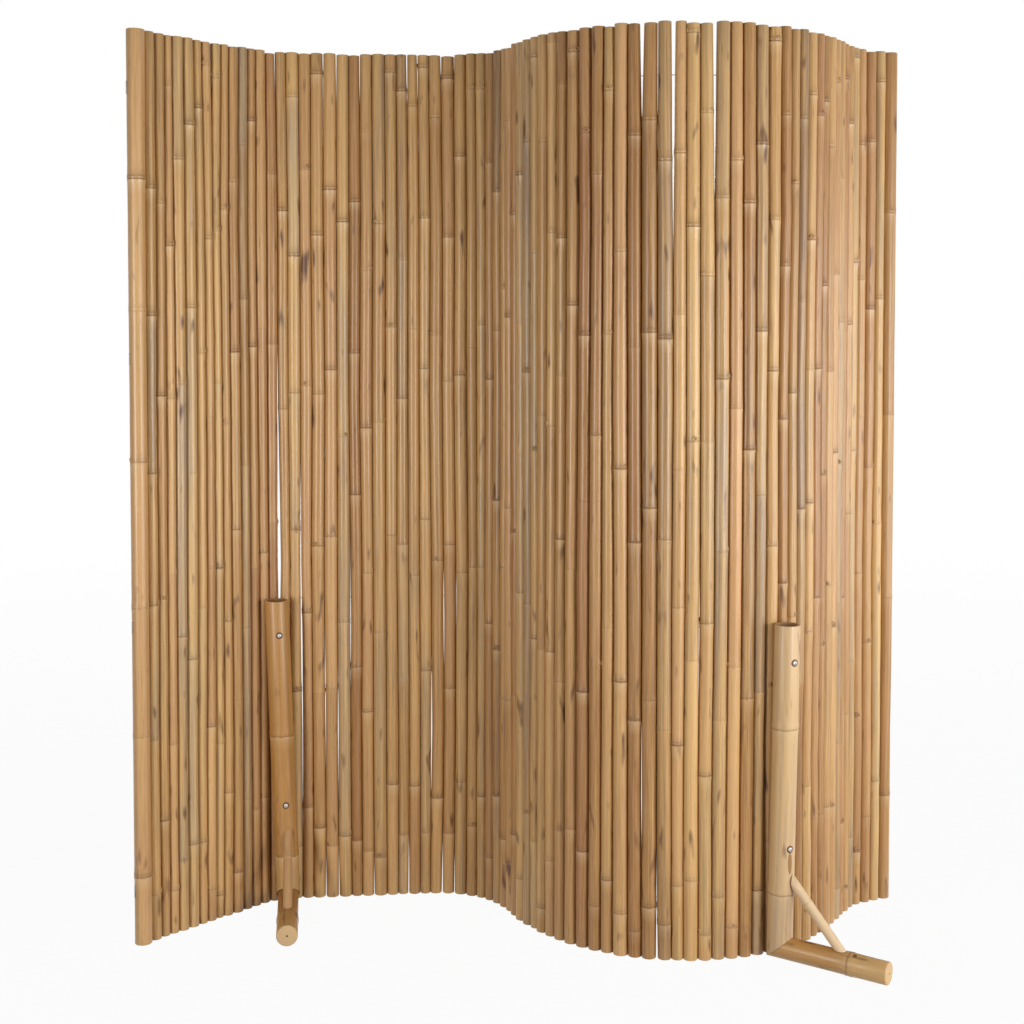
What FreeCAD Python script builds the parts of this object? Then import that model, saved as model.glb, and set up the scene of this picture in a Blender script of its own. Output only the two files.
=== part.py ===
"""Free-standing bamboo screen: drilled canes threaded on wires along an S-shaped curve, on two mitred feet.

The plan curve runs from the left end cane to the right one as straight runs joined by tangent arcs. Every
cane stands on it with its neighbour's width beside it, leans a little, and is drilled where the wires pass.
X is to the right, Y away from the viewer, Z up, and the floor is at zero.
"""
import FreeCAD, Part
import math
import os
import random
from dataclasses import dataclass

from FreeCAD import Placement, Rotation, Vector

SIZES = (
    ("cane_count", 76, "canes in the panel"),
    ("cane_sides", 10, "flats round a cane, few because canes repeat"),
    ("cane_length", 1800, "height of the tallest canes"),
    ("cane_diameter", 24.0, "mean diameter of a cane"),
    ("slim_count", 14, "canes from the left end that come from a slimmer bundle"),
    ("slim_diameter", 19.9, "mean diameter of those"),
    ("cane_spread", 1.5, "most that a cane's radius departs from the mean"),
    ("cane_taper", 1.6, "loss of diameter from butt to tip"),
    ("cane_lean", 1.2, "most that a cane's top drifts along the curve"),
    ("cane_ragged", 5, "most that a cane's top falls short"),
    ("cane_gap", 0.5, "least gap between neighbours"),
    ("cane_slack", 0.7, "most that such a gap is wider"),
    ("left_end_diameter", 32, "stout cane at the left end"),
    ("right_end_diameter", 29, "stout cane at the right end"),
    ("first_heading", 45, "direction of the first run, degrees from X towards Y"),
    ("first_run", 285, "first straight run"),
    ("first_bend_radius", 109, "first bend, to the right"),
    ("first_bend_turn", 39.6, "degrees"),
    ("second_run", 298, "second straight run"),
    ("second_bend_radius", 168, "second bend, to the right"),
    ("second_bend_turn", 69.1, "degrees"),
    ("third_run", 45, "third straight run"),
    ("third_bend_radius", 361, "third bend, to the left"),
    ("third_bend_turn", 119.7, "degrees"),
    ("fourth_run", 99, "fourth straight run"),
    ("fourth_bend_radius", 119, "fourth bend, to the right; the last run goes as far as the canes need"),
    ("fourth_bend_turn", 31.3, "degrees"),
    ("wire_diameter", 1.8, "galvanised threading wire"),
    ("wire_sides", 4, "flats round a wire"),
    ("wire_clearance", 0.15, "room between a wire and its hole"),
    ("hole_sides", 3, "flats of a wire hole, few because holes repeat"),
    ("wire_bottom_height", 120, "lowest wire"),
    ("wire_top_depth", 100, "highest wire, below the cane tops"),
    ("wire_tail", 26, "wire end folded down over the end cane"),
    ("foot_sides", 20, "flats round the culms of the feet"),
    ("node_ridge", 1.5, "how far a node stands proud of its culm"),
    ("node_width", 10, "width of a node's ridge"),
    ("node_wall", 6, "thickness of the wall across a culm at a node"),
    ("upright_diameter", 50, "culm of a foot's upright"),
    ("upright_height", 650, "top of an upright"),
    ("upright_wall", 5, "wall of an upright at its open top"),
    ("left_lower_node", 110, "height of a node on the left upright"),
    ("left_upper_node", 366, "height of the next node"),
    ("left_sway", -21, "drift of the left upright's top along the curve"),
    ("left_foot_cane", 16, "number of the cane that the left foot is screwed to"),
    ("left_foot_turn", -7.5, "degrees from the panel's normal to the left bar"),
    ("right_lower_node", 130, "height of a node on the right upright"),
    ("right_upper_node", 450, "height of the next node"),
    ("right_sway", 14, "drift of the right upright's top along the curve"),
    ("right_foot_cane", 60, "number of the cane that the right foot is screwed to"),
    ("right_foot_turn", 30, "degrees from the panel's normal to the right bar"),
    ("bar_diameter", 43, "culm of a foot's bar"),
    ("bar_reach", 218, "end of a bar, from its upright's axis"),
    ("bar_node", 142, "node on a bar, from its upright's axis"),
    ("brace_diameter", 19, "peeled stick"),
    ("brace_sides", 16, "flats round a brace"),
    ("brace_height", 155, "where a brace meets its upright"),
    ("brace_reach", 122, "where a brace meets its bar, from the upright's axis"),
    ("seat_gap", 0.3, "room where pieces of the feet seat"),
    ("screw_lower_height", 220, "lower screw of a foot"),
    ("screw_upper_depth", 70, "upper screw of a foot, below the upright's top"),
    ("screw_head_diameter", 9, "pan head"),
    ("screw_head_height", 2.4, "thickness of the head"),
    ("screw_head_sides", 12, "flats round a head"),
    ("screw_shank_diameter", 4, "shank"),
    ("screw_shank_sides", 6, "flats round a shank and its hole"),
    ("screw_clearance", 0.15, "room between a shank and its hole"),
    ("screw_bite", 9, "how far a screw goes into its cane"),
)
# Each bend, the side that it turns to and the run after it; the last run is open.
BENDS = (
    ("first", -1, "second_run"),
    ("second", -1, "third_run"),
    ("third", 1, "fourth_run"),
    ("fourth", -1, None),
)
WIRE_ROWS = ("bottom", "lower", "upper", "top")
FEET = ("left", "right")
GROWTH_SEED = 7
# Drift of the tops that opens the widest seams, by cane number, as a multiple of the usual most.
OPEN_SEAMS = {8: -1.3, 9: 1.2, 50: -2.2, 51: 2.7, 52: 0.5, 53: 2, 55: -2.5, 56: 2.8}

UP = Vector(0, 0, 1)
ACROSS = Vector(0, 1, 0)
HALF_TURN = 180

doc = FreeCAD.newDocument("bamboo_screen")
sheet = doc.addObject("Spreadsheet::Sheet", "sizes")
for row, (alias, value, meaning) in enumerate(SIZES, start=1):
    sheet.set(f"A{row}", alias)
    sheet.set(f"B{row}", str(value))
    sheet.set(f"C{row}", meaning)
    sheet.setAlias(f"B{row}", alias)
doc.recompute()


def size(alias):
    """Return a driving dimension from the sheet."""
    return float(sheet.get(alias))


def count(alias):
    """Return a whole number from the sheet."""
    return int(round(size(alias)))


def bind(thing, **expressions):
    """Tie properties of a document object to cells of the sheet."""
    for name, expression in expressions.items():
        thing.setExpression(name, expression)
    return thing


def flat_turn(sides):
    """Return the turn that brings a flat, and not a corner, of a regular section onto its first axis."""
    return Rotation(UP, HALF_TURN / sides)


@dataclass
class Leg:
    """One straight run or arc of the plan curve."""

    start: Vector
    heading: float
    length: float
    curvature: float

    def at(self, along):
        """Return the point and heading a given way along this leg."""
        heading = self.heading + self.curvature * along
        if self.curvature == 0:
            step = Vector(math.cos(heading), math.sin(heading), 0) * along
        else:
            step = Vector(
                (math.sin(heading) - math.sin(self.heading)) / self.curvature,
                (math.cos(self.heading) - math.cos(heading)) / self.curvature,
                0,
            )
        return self.start + step, heading


def plan_legs():
    """Return the legs of the S-shaped plan curve, which starts at zero and ends in an open run."""
    shapes = [(size("first_run"), 0)]
    for bend, side, after in BENDS:
        radius = size(f"{bend}_bend_radius")
        turn = math.radians(size(f"{bend}_bend_turn"))
        shapes.append((radius * turn, side / radius))
        shapes.append((size(after) if after else math.inf, 0))
    legs = []
    point = Vector()
    heading = math.radians(size("first_heading"))
    for length, curvature in shapes:
        leg = Leg(point, heading, length, curvature)
        legs.append(leg)
        if length < math.inf:
            point, heading = leg.at(length)
    return legs


LEGS = plan_legs()


def on_curve(along):
    """Return the point and heading a given way along the whole plan curve."""
    for leg in LEGS[:-1]:
        if along <= leg.length:
            return leg.at(along)
        along -= leg.length
    return LEGS[-1].at(along)


@dataclass
class Cane:
    """One upright cane: its end sections and where they stand along the plan curve."""

    number: int
    foot: object
    top: object
    drift: float
    height: float
    along: float = 0

    def share(self, height):
        """Return how far up the cane a height is."""
        return height / self.height

    def along_at(self, height):
        """Return the cane's place along the curve at a height."""
        return self.along + self.drift * self.share(height)

    def radius_at(self, height):
        """Return the cane's radius at a height."""
        low = self.foot.Circumradius.Value
        return low + (self.top.Circumradius.Value - low) * self.share(height)

    def centre_at(self, height):
        """Return the point of the cane's axis at a height, on the unshifted plan."""
        low = on_curve(self.along)[0]
        high = on_curve(self.along + self.drift)[0]
        return low + (high - low) * self.share(height) + UP * height


def section(name, sides, radius):
    """Add a regular section with a given number of flats and radius, both expressions on the sheet."""
    return bind(doc.addObject("Part::RegularPolygon", name), Polygon=sides, Circumradius=radius)


def rod(name, sections):
    """Add a straight-sided solid through sections that all turn the same way."""
    loft = doc.addObject("Part::Loft", name)
    loft.Sections = sections
    loft.Solid = True
    loft.Ruled = True
    loft.Linearize = True
    return loft


def prism(name, sides, radius, length, place):
    """Add a regular prism along its own Z axis."""
    solid = bind(doc.addObject("Part::Prism", name), Polygon=sides, Circumradius=radius)
    solid.Height = length
    solid.Placement = place
    return solid


def group(name, members):
    """Add a group of solids that stay separate."""
    compound = doc.addObject("Part::Compound", name)
    compound.Links = members
    return compound


def cut(name, base, tool):
    """Add a solid with a tool's shape taken out of it."""
    result = doc.addObject("Part::Cut", name)
    result.Base = base
    result.Tool = tool
    return result


def grow_canes():
    """Add the end sections of every cane, each with its own girth, butt end and drift."""
    growth = random.Random(GROWTH_SEED)
    canes = []
    last = count("cane_count")
    for number in range(1, last + 1):
        girth = growth.uniform(-1, 1)
        butt = growth.choice((-1, 1))
        drift = size("cane_lean") * OPEN_SEAMS.get(number, growth.uniform(-1, 1))
        height = size("cane_length") - size("cane_ragged") * growth.random() ** 2
        bundle = "slim_diameter" if number <= count("slim_count") else "cane_diameter"
        middle = f"sizes.{bundle} / 2 + sizes.cane_spread * {girth:.3f}"
        if number == 1:
            middle = "sizes.left_end_diameter / 2"
        if number == last:
            middle = "sizes.right_end_diameter / 2"
        ends = []
        for end, thicker in (("foot", butt), ("top", -butt)):
            radius = f"{middle} + sizes.cane_taper / 4 * {thicker}"
            ends.append(section(f"cane_{number:02d}_{end}", "sizes.cane_sides", radius))
        canes.append(Cane(number, ends[0], ends[1], drift, height))
    doc.recompute()
    return canes


def space_canes(canes):
    """Stand each cane as close to the last one as both its ends and a natural gap let it."""
    growth = random.Random(GROWTH_SEED)
    for left, right in zip(canes, canes[1:]):
        at_foot = left.radius_at(0) + right.radius_at(0)
        at_top = left.top.Circumradius.Value + right.top.Circumradius.Value + left.drift - right.drift
        gap = size("cane_gap") + size("cane_slack") * growth.random()
        right.along = left.along + max(at_foot, at_top) + gap


@dataclass
class FootPlan:
    """Where one foot stands: the frame of its upright, with X out of the panel, and its own sizes."""

    side: str
    cane: Cane
    point: Vector
    heading: float
    offset: float

    def own(self, name):
        """Return one of this side's own sizes."""
        return size(f"{self.side}_{name}")

    def sway_at(self, height):
        """Return the upright's drift along the curve at a height."""
        return self.own("sway") * height / size("upright_height")

    def frame(self, shift):
        """Return the upright's frame in the part, with the plan's shift to the middle."""
        out = Rotation(UP, math.degrees(self.heading) - HALF_TURN / 2)
        return Placement(self.point - shift, out).multiply(Placement(Vector(self.offset, 0, 0), Rotation()))

    def bar_frame(self, shift):
        """Return the frame of the bar, turned about the upright."""
        return self.frame(shift).multiply(Placement(Vector(), Rotation(UP, self.own("foot_turn"))))


def node_heights(side):
    """Return the heights of the two nodes on an upright."""
    return size(f"{side}_lower_node"), size(f"{side}_upper_node")


def plan_foot(side, canes):
    """Stand an upright off its cane until it clears that cane and its neighbours by the seat gap."""
    chosen = canes[min(count(f"{side}_foot_cane"), len(canes)) - 1]
    point, heading = on_curve(chosen.along)
    plan = FootPlan(side, chosen, point, heading, 0)
    out = Vector(math.sin(heading), -math.cos(heading), 0)
    along = Vector(math.cos(heading), math.sin(heading), 0)
    plain = size("upright_diameter") / 2
    levels = [(0, plain), (size("upright_height"), plain)]
    levels += [(height, plain + size("node_ridge")) for height in node_heights(side)]
    for cane in canes:
        for height, radius in levels:
            reach = radius + cane.radius_at(height) + size("seat_gap")
            away = cane.centre_at(height) - point
            sideways = away.dot(along) - plan.sway_at(height)
            if abs(sideways) < reach:
                plan.offset = max(plan.offset, away.dot(out) + math.sqrt(reach**2 - sideways**2))
    return plan


def bar_levels():
    """Return the heights of a bar's axis and top, which rests on its node's ridge with a flat down."""
    flat = math.cos(math.pi / count("foot_sides"))
    axis = (size("bar_diameter") / 2 + size("node_ridge")) * flat
    return axis, axis + size("bar_diameter") / 2 * flat


def middle_of_plan(canes, feet):
    """Return the middle of the box that the canes and the bars' ends fill on the plan."""
    spots = [(cane.centre_at(0), Vector(1, 1, 0) * cane.radius_at(0)) for cane in canes]
    for foot in feet:
        frame = foot.bar_frame(Vector())
        side = frame.Rotation.multVec(ACROSS) * (size("bar_diameter") / 2)
        spots.append((frame.multVec(Vector(size("bar_reach"), 0, 0)), Vector(abs(side.x), abs(side.y), 0)))
    lows = [min(point[axis] - room[axis] for point, room in spots) for axis in (0, 1)]
    highs = [max(point[axis] + room[axis] for point, room in spots) for axis in (0, 1)]
    return Vector((lows[0] + highs[0]) / 2, (lows[1] + highs[1]) / 2, 0)


def wire_heights():
    """Return each wire's row and height, evenly spaced from the lowest to the highest."""
    low = size("wire_bottom_height")
    step = (size("cane_length") - size("wire_top_depth") - low) / (len(WIRE_ROWS) - 1)
    return [(row, low + step * place) for place, row in enumerate(WIRE_ROWS)]


def sharpest_bend(along, reach):
    """Return the sharpest curvature of the plan within a reach of a place along it."""
    sharpest = 0
    passed = 0
    for leg in LEGS:
        if passed < along + reach and passed + leg.length > along - reach:
            sharpest = max(sharpest, abs(leg.curvature))
        passed += leg.length
    return sharpest


def hole_inner_radius(cane, height):
    """Return the inner radius of a straight hole that lets the wire pass, with its bow across the cane."""
    reach = cane.radius_at(height)
    bow = reach**2 * sharpest_bend(cane.along_at(height), reach) / 2
    return size("wire_diameter") / 2 + size("wire_clearance") + bow


def wire_drills(cane, shift):
    """Add the drills that make one cane's wire holes, with a flat edge down and the point up."""
    drills = []
    for row, height in wire_heights():
        length = 4 * cane.radius_at(height)
        radius = hole_inner_radius(cane, height) / math.cos(math.pi / count("hole_sides"))
        heading = math.degrees(on_curve(cane.along_at(height))[1])
        lying = Rotation(ACROSS, HALF_TURN / 2).multiply(Rotation(UP, HALF_TURN))
        place = Placement(cane.centre_at(height) - shift, Rotation(UP, heading).multiply(lying))
        place = place.multiply(Placement(UP * (-length / 2), Rotation()))
        name = f"cane_{cane.number:02d}_{row}_drill"
        drills.append(prism(name, "sizes.hole_sides", f"{radius}", length, place))
    return drills


def build_cane(cane, shift, extra_drills):
    """Add one drilled cane, with a flat towards each neighbour and level ends."""
    heading = math.degrees(on_curve(cane.along)[1])
    turn = Rotation(UP, heading).multiply(flat_turn(count("cane_sides")))
    cane.foot.Placement = Placement(cane.centre_at(0) - shift, turn)
    cane.top.Placement = Placement(cane.centre_at(cane.height) - shift, turn)
    name = f"cane_{cane.number:02d}"
    blank = rod(f"{name}_blank", [cane.foot, cane.top])
    drills = group(f"{name}_drills", wire_drills(cane, shift) + extra_drills)
    return cut(name, blank, drills)


def wire_path(row, height, start, end, shift):
    """Add the plan curve between two places as the path of one wire."""
    edges = []
    passed = 0
    for leg in LEGS:
        first = start - passed if leg is LEGS[0] else max(start - passed, 0)
        final = min(end - passed, leg.length)
        if final > first:
            ends = [leg.at(way)[0] - shift + UP * height for way in (first, (first + final) / 2, final)]
            curve = Part.Arc(*ends) if leg.curvature else Part.LineSegment(ends[0], ends[2])
            edges.append(curve.toShape())
        passed += leg.length
    path = doc.addObject("Part::Feature", f"wire_{row}_path")
    path.Shape = Part.Wire(edges)
    return path


def build_wire(row, height, canes, shift):
    """Add one wire along the curve, folded down over the end canes."""
    standoff = size("wire_diameter") / 2 + size("seat_gap")
    start = canes[0].along_at(height) - canes[0].radius_at(height) - standoff
    end = canes[-1].along_at(height) + canes[-1].radius_at(height) + standoff
    path = wire_path(row, height, start, end, shift)
    square = flat_turn(count("wire_sides"))
    tails = []
    for end_name, along in (("start", start), ("end", end)):
        point, heading = on_curve(along)
        level = Rotation(UP, math.degrees(heading))
        foot = point - shift + UP * (height - size("wire_tail"))
        length = size("wire_tail") + size("wire_diameter") / 2 * math.cos(math.pi / count("wire_sides"))
        place = Placement(foot, level.multiply(square))
        name = f"wire_{row}_{end_name}_tail"
        tails.append(prism(name, "sizes.wire_sides", "sizes.wire_diameter / 2", length, place))
        if along == start:
            ring = section(f"wire_{row}_section", "sizes.wire_sides", "sizes.wire_diameter / 2")
            across = level.multiply(Rotation(ACROSS, HALF_TURN / 2)).multiply(square)
            ring.Placement = Placement(point - shift + UP * height, across)
    run = doc.addObject("Part::Sweep", f"wire_{row}_run")
    run.Sections = [ring]
    run.Spine = (path, [f"Edge{place + 1}" for place in range(len(path.Shape.Edges))])
    run.Solid = True
    run.Linearize = True
    wire = doc.addObject("Part::MultiFuse", f"wire_{row}")
    wire.Shapes = [run] + tails
    return wire


def culm(name, plain, stations, ridged, frame, turn):
    """Add a bamboo culm through stations of its axis, with a ridge at those that are nodes."""
    facing = turn.multiply(flat_turn(count("foot_sides")))
    rings = []
    for place, (point, is_node) in enumerate(zip(stations, ridged)):
        radius = f"{plain} + sizes.node_ridge" if is_node else plain
        ring = section(f"{name}_ring_{place}", "sizes.foot_sides", radius)
        ring.Placement = frame.multiply(Placement(point, facing))
        rings.append(ring)
    return rod(name, rings)


def node_stations(start, nodes, end):
    """Return the places along a culm's axis for its ends and nodes, and which of them are ridges."""
    places, ridges = [start], [False]
    half = size("node_width") / 2
    for node in nodes:
        places += [node - half, node, node + half]
        ridges += [False, True, False]
    return places + [end], ridges + [False]


def mitre_block(name, frame, keeps_above):
    """Add the block that mitres an upright, or else a bar, on the plane through their two corners."""
    half = size("upright_diameter") / 2
    axis, top = bar_levels()
    bottom = 2 * axis - top
    slope = math.atan2(top - bottom, 2 * half)
    reach = 4 * size("upright_diameter")
    block = bind(
        doc.addObject("Part::Box", name),
        Length="4 * sizes.upright_diameter",
        Width="4 * sizes.upright_diameter",
        Height="4 * sizes.upright_diameter",
    )
    room = size("seat_gap") / 2
    lift = room - reach if keeps_above else -room
    plane = Placement(Vector(-half, 0, bottom), Rotation(ACROSS, -math.degrees(slope)))
    beside = Placement(Vector(-reach / 2, -reach / 2, lift), Rotation())
    block.Placement = frame.multiply(plane).multiply(beside)
    return block


def screw_levels(foot):
    """Return the local places of a foot's screws, on the upright's front flat."""
    front = size("upright_diameter") / 2 * math.cos(math.pi / count("foot_sides")) + size("seat_gap")
    heights = (size("screw_lower_height"), size("upright_height") - size("screw_upper_depth"))
    return [Vector(front, foot.sway_at(height), height) for height in heights]


def canes_met(foot, spot, canes):
    """Return the canes that a screw at a local spot meets, with how far out of the panel it enters each."""
    room = size("screw_shank_diameter") / 2 + size("screw_clearance")
    into_frame = foot.frame(Vector()).inverse()
    met = []
    for cane in canes:
        away = into_frame.multVec(cane.centre_at(spot.z))
        radius = cane.radius_at(spot.z)
        sideways = abs(away.y - spot.y)
        if sideways < radius + room and abs(away.x) < 2 * size("upright_diameter"):
            met.append((cane.number, away.x + math.sqrt(max(radius**2 - sideways**2, 0))))
    return met


def screw_parts(foot, canes, shift):
    """Add a foot's screws, and the drills for their holes with the canes that each one drills."""
    into_panel = Rotation(ACROSS, -HALF_TURN / 2)
    screws, drills = [], []
    for level, spot in zip(("lower", "upper"), screw_levels(foot)):
        name = f"{foot.side}_{level}_screw"
        seat = foot.frame(shift).multiply(Placement(spot, into_panel))
        met = canes_met(foot, spot, canes)
        length = spot.x - max(entry for number, entry in met) + size("screw_bite")
        radius = "sizes.screw_shank_diameter / 2"
        shank = prism(f"{name}_shank", "sizes.screw_shank_sides", radius, length, seat)
        crown = seat.multiply(Placement(UP * -size("screw_head_height"), Rotation()))
        head = bind(
            prism(f"{name}_head", "sizes.screw_head_sides", "sizes.screw_head_diameter / 2", 1, crown),
            Height="sizes.screw_head_height",
        )
        screw = doc.addObject("Part::Fuse", name)
        screw.Base = head
        screw.Tool = shank
        screws.append(screw)
        hole = f"{radius} + sizes.screw_clearance"
        reach = length + size("seat_gap")
        drill = prism(f"{name}_drill", "sizes.screw_shank_sides", hole, reach, seat)
        drills.append((drill, [number for number, entry in met]))
    return screws, drills


def build_upright(foot, shift, drills):
    """Add an upright: a culm with two nodes, an open top cell, screw holes and a mitred base."""
    name = f"{foot.side}_upright"
    top = size("upright_height")
    heights, ridges = node_stations(0, node_heights(foot.side), top)
    stations = [Vector(0, foot.sway_at(height), height) for height in heights]
    frame = foot.frame(shift)
    blank = culm(f"{name}_blank", "sizes.upright_diameter / 2", stations, ridges, frame, Rotation())
    floor = node_heights(foot.side)[1] + size("node_wall") / 2
    lip = top + size("node_wall")
    cell = [Vector(0, foot.sway_at(height), height) for height in (floor, lip)]
    inner = "sizes.upright_diameter / 2 - sizes.upright_wall"
    hollow = culm(f"{name}_cell", inner, cell, (False, False), frame, Rotation())
    base = mitre_block(f"{name}_mitre", foot.bar_frame(shift), True)
    return cut(name, blank, group(f"{name}_tools", [hollow, base] + drills))


def build_bar(foot, shift):
    """Add a bar: a culm along the floor with one node, mitred to its upright."""
    name = f"{foot.side}_foot_bar"
    level = bar_levels()[0]
    starts = -size("upright_diameter") / 2
    places, ridges = node_stations(starts, [size("bar_node")], size("bar_reach"))
    stations = [Vector(place, 0, level) for place in places]
    frame = foot.bar_frame(shift)
    lying = Rotation(ACROSS, HALF_TURN / 2)
    blank = culm(f"{name}_blank", "sizes.bar_diameter / 2", stations, ridges, frame, lying)
    return cut(name, blank, mitre_block(f"{name}_mitre", frame, False))


def build_brace(foot, shift):
    """Add a brace: a peeled stick across the corner, cut off plumb at the upright and level at the bar."""
    name = f"{foot.side}_brace"
    frame = foot.bar_frame(shift)
    height = size("brace_height")
    turn = math.radians(foot.own("foot_turn"))
    plumb = size("upright_diameter") / 2 + size("seat_gap") + max(foot.sway_at(height) * math.sin(turn), 0)
    level = bar_levels()[1] + size("seat_gap")
    high = Vector(plumb, 0, height)
    low = Vector(size("brace_reach"), 0, level)
    slant = (high - low).normalize()
    spare = 2 * size("brace_diameter")
    facing = Rotation(UP, slant).multiply(flat_turn(count("brace_sides")))
    rings = []
    for end, point in (("low", low - slant * spare), ("high", high + slant * spare)):
        ring = section(f"{name}_{end}_ring", "sizes.brace_sides", "sizes.brace_diameter / 2")
        ring.Placement = frame.multiply(Placement(point, facing))
        rings.append(ring)
    corner = bind(
        doc.addObject("Part::Box", f"{name}_corner"),
        Length="2 * sizes.brace_reach",
        Width="4 * sizes.brace_diameter",
        Height="2 * sizes.brace_height",
    )
    corner.Placement = frame.multiply(Placement(Vector(plumb, -spare, level), Rotation()))
    brace = doc.addObject("Part::Common", name)
    brace.Base = rod(f"{name}_stick", rings)
    brace.Tool = corner
    return brace


def build():
    """Build the whole screen and return its sub-parts by node name."""
    canes = grow_canes()
    space_canes(canes)
    feet = [plan_foot(side, canes) for side in FEET]
    shift = middle_of_plan(canes, feet)
    nodes = {}
    all_screws = []
    drills_by_cane = {}
    for foot in feet:
        screws, drills = screw_parts(foot, canes, shift)
        all_screws += screws
        for drill, numbers in drills:
            for number in numbers:
                drills_by_cane.setdefault(number, []).append(drill)
        nodes[f"{foot.side}_upright"] = build_upright(foot, shift, [drill for drill, numbers in drills])
        nodes[f"{foot.side}_foot_bar"] = build_bar(foot, shift)
        nodes[f"{foot.side}_brace"] = build_brace(foot, shift)
    nodes["foot_screws"] = group("foot_screws", all_screws)
    for row, height in wire_heights():
        nodes[f"wire_{row}"] = build_wire(row, height, canes, shift)
    built = [build_cane(cane, shift, drills_by_cane.get(cane.number, [])) for cane in canes]
    for place in range(0, len(built), 2):
        name = f"cane_pair_{place // 2 + 1:02d}"
        nodes[name] = group(name, built[place:place + 2])
    for name, node in nodes.items():
        node.Label = name
    doc.recompute()
    return nodes


def check(nodes):
    """Stop if any object failed or any sub-part is empty or broken."""
    for thing in doc.Objects:
        if "Invalid" in thing.State or "Error" in thing.State:
            raise RuntimeError(f"{thing.Name} failed: {thing.State}")
    for name, node in nodes.items():
        if node.Shape.isNull() or not node.Shape.isValid():
            raise RuntimeError(f"{name} has no sound shape")


def main():
    """Build, check and write one file for each sub-part."""
    nodes = build()
    check(nodes)
    os.makedirs("parts", exist_ok=True)
    for name, node in nodes.items():
        node.Shape.exportStep(f"parts/{name}.step")


main()
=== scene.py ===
"""Bamboo screen panel: round canes, culm feet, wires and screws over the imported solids, in a pale studio.

Lengths are in metres, unless a name ends in _mm. Every piece is placed by the solid that it stands for.
"""
import logging
import math
import random
from dataclasses import dataclass, field
from enum import Enum
from functools import cache

import bmesh
import bpy
import numpy as np
from bpy.types import ID, Material, Mesh, Node, NodeOutputs, NodeSocket, NodeTree, Object
from mathutils import Matrix, Vector


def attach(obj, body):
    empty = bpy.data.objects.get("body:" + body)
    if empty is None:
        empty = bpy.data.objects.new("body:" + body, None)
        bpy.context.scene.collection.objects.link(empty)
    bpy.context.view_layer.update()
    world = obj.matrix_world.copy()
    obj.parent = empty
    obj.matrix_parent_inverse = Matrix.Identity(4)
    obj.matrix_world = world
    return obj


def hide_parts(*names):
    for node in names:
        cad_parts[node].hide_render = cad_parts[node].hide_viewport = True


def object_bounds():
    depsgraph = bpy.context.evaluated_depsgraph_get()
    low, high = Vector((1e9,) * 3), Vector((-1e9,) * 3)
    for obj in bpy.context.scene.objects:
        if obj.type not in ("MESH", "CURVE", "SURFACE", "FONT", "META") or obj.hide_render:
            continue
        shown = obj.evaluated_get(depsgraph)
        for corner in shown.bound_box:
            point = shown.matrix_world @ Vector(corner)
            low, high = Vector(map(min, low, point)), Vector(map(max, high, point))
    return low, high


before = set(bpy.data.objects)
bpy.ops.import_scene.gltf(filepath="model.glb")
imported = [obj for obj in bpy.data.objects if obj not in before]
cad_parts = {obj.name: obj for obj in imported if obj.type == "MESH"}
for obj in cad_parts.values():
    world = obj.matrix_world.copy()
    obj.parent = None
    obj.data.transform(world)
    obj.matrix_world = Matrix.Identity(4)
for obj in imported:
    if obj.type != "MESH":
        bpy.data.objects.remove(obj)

Pair = tuple[float, float]
Triple = tuple[float, float, float]
# Radius and height of each ring that is turned about an axis.
Outline = tuple[Pair, ...]
# A node's rings: offset along the culm and swelling in millimetres, dark scar, and a pale band
# that is partly wax and partly a painted highlight.
Profile = tuple[tuple[float, float, float, float], ...]

LOG = logging.getLogger("bamboo_screen")
CAD_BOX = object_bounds()
MM = 0.001
UP = Vector((0, 0, 1))
# Corners nearer than the first are one corner, and nearer in height than the second are on one ring.
SAME_PLACE = 2e-6
SAME_LEVEL = 0.1 * MM
GROWTH_SEED = 11
WHITE = "#FFFFFF"
# A Mix node's sockets for colours: by number, because its other types have sockets of the same names.
MIX_FROM, MIX_TO, MIX_RESULT = 6, 7, 2


class Side(Enum):
    """The two feet, as seen from the front."""

    LEFT = "left"
    RIGHT = "right"


class WireRow(Enum):
    """The threading wires, from the floor up."""

    BOTTOM = "bottom"
    LOWER = "lower"
    UPPER = "upper"
    TOP = "top"


class SawnFace(Enum):
    """What a sawn face shows: a fresh pale cut, or in a closed joint the hollow's dark brown, as painted
    shade.
    """

    FRESH = "cut"
    JOINT = "bore"


def linear(hex_colour: str) -> tuple[float, float, float, float]:
    """Turn an sRGB hex colour to linear light.

    Args:
        hex_colour: Six hex digits after a hash sign.

    Returns:
        Linear red, green and blue, and a full alpha.
    """
    parts = [int(hex_colour[at:at + 2], 16) / 255 for at in (1, 3, 5)]
    light = [part / 12.92 if part <= 0.04045 else ((part + 0.055) / 1.055) ** 2.4 for part in parts]
    return light[0], light[1], light[2], 1.0


def add_node(tree: NodeTree, kind: str, sockets: dict | None = None, **settings: object) -> Node:
    """Add a node with its settings, values and links.

    Args:
        tree: The tree that gets the node.
        kind: Blender's name for the node's type.
        sockets: Each input's name or number, and its value or link: an output, or a node for its first.
        **settings: The node's own properties.

    Returns:
        The new node.
    """
    node = tree.nodes.new(kind)
    for name, value in settings.items():
        setattr(node, name, value)
    for key, value in (sockets or {}).items():
        if isinstance(value, Node):
            value = value.outputs[0]
        if isinstance(value, NodeSocket):
            tree.links.new(value, node.inputs[key])
        else:
            node.inputs[key].default_value = value
    return node


def new_material(name: str) -> tuple[Material, NodeTree]:
    """Add an empty node material.

    Args:
        name: The material's name.

    Returns:
        The material and its tree.
    """
    material = bpy.data.materials.new(name)
    material.use_nodes = True
    material.node_tree.nodes.clear()
    return material, material.node_tree


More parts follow.
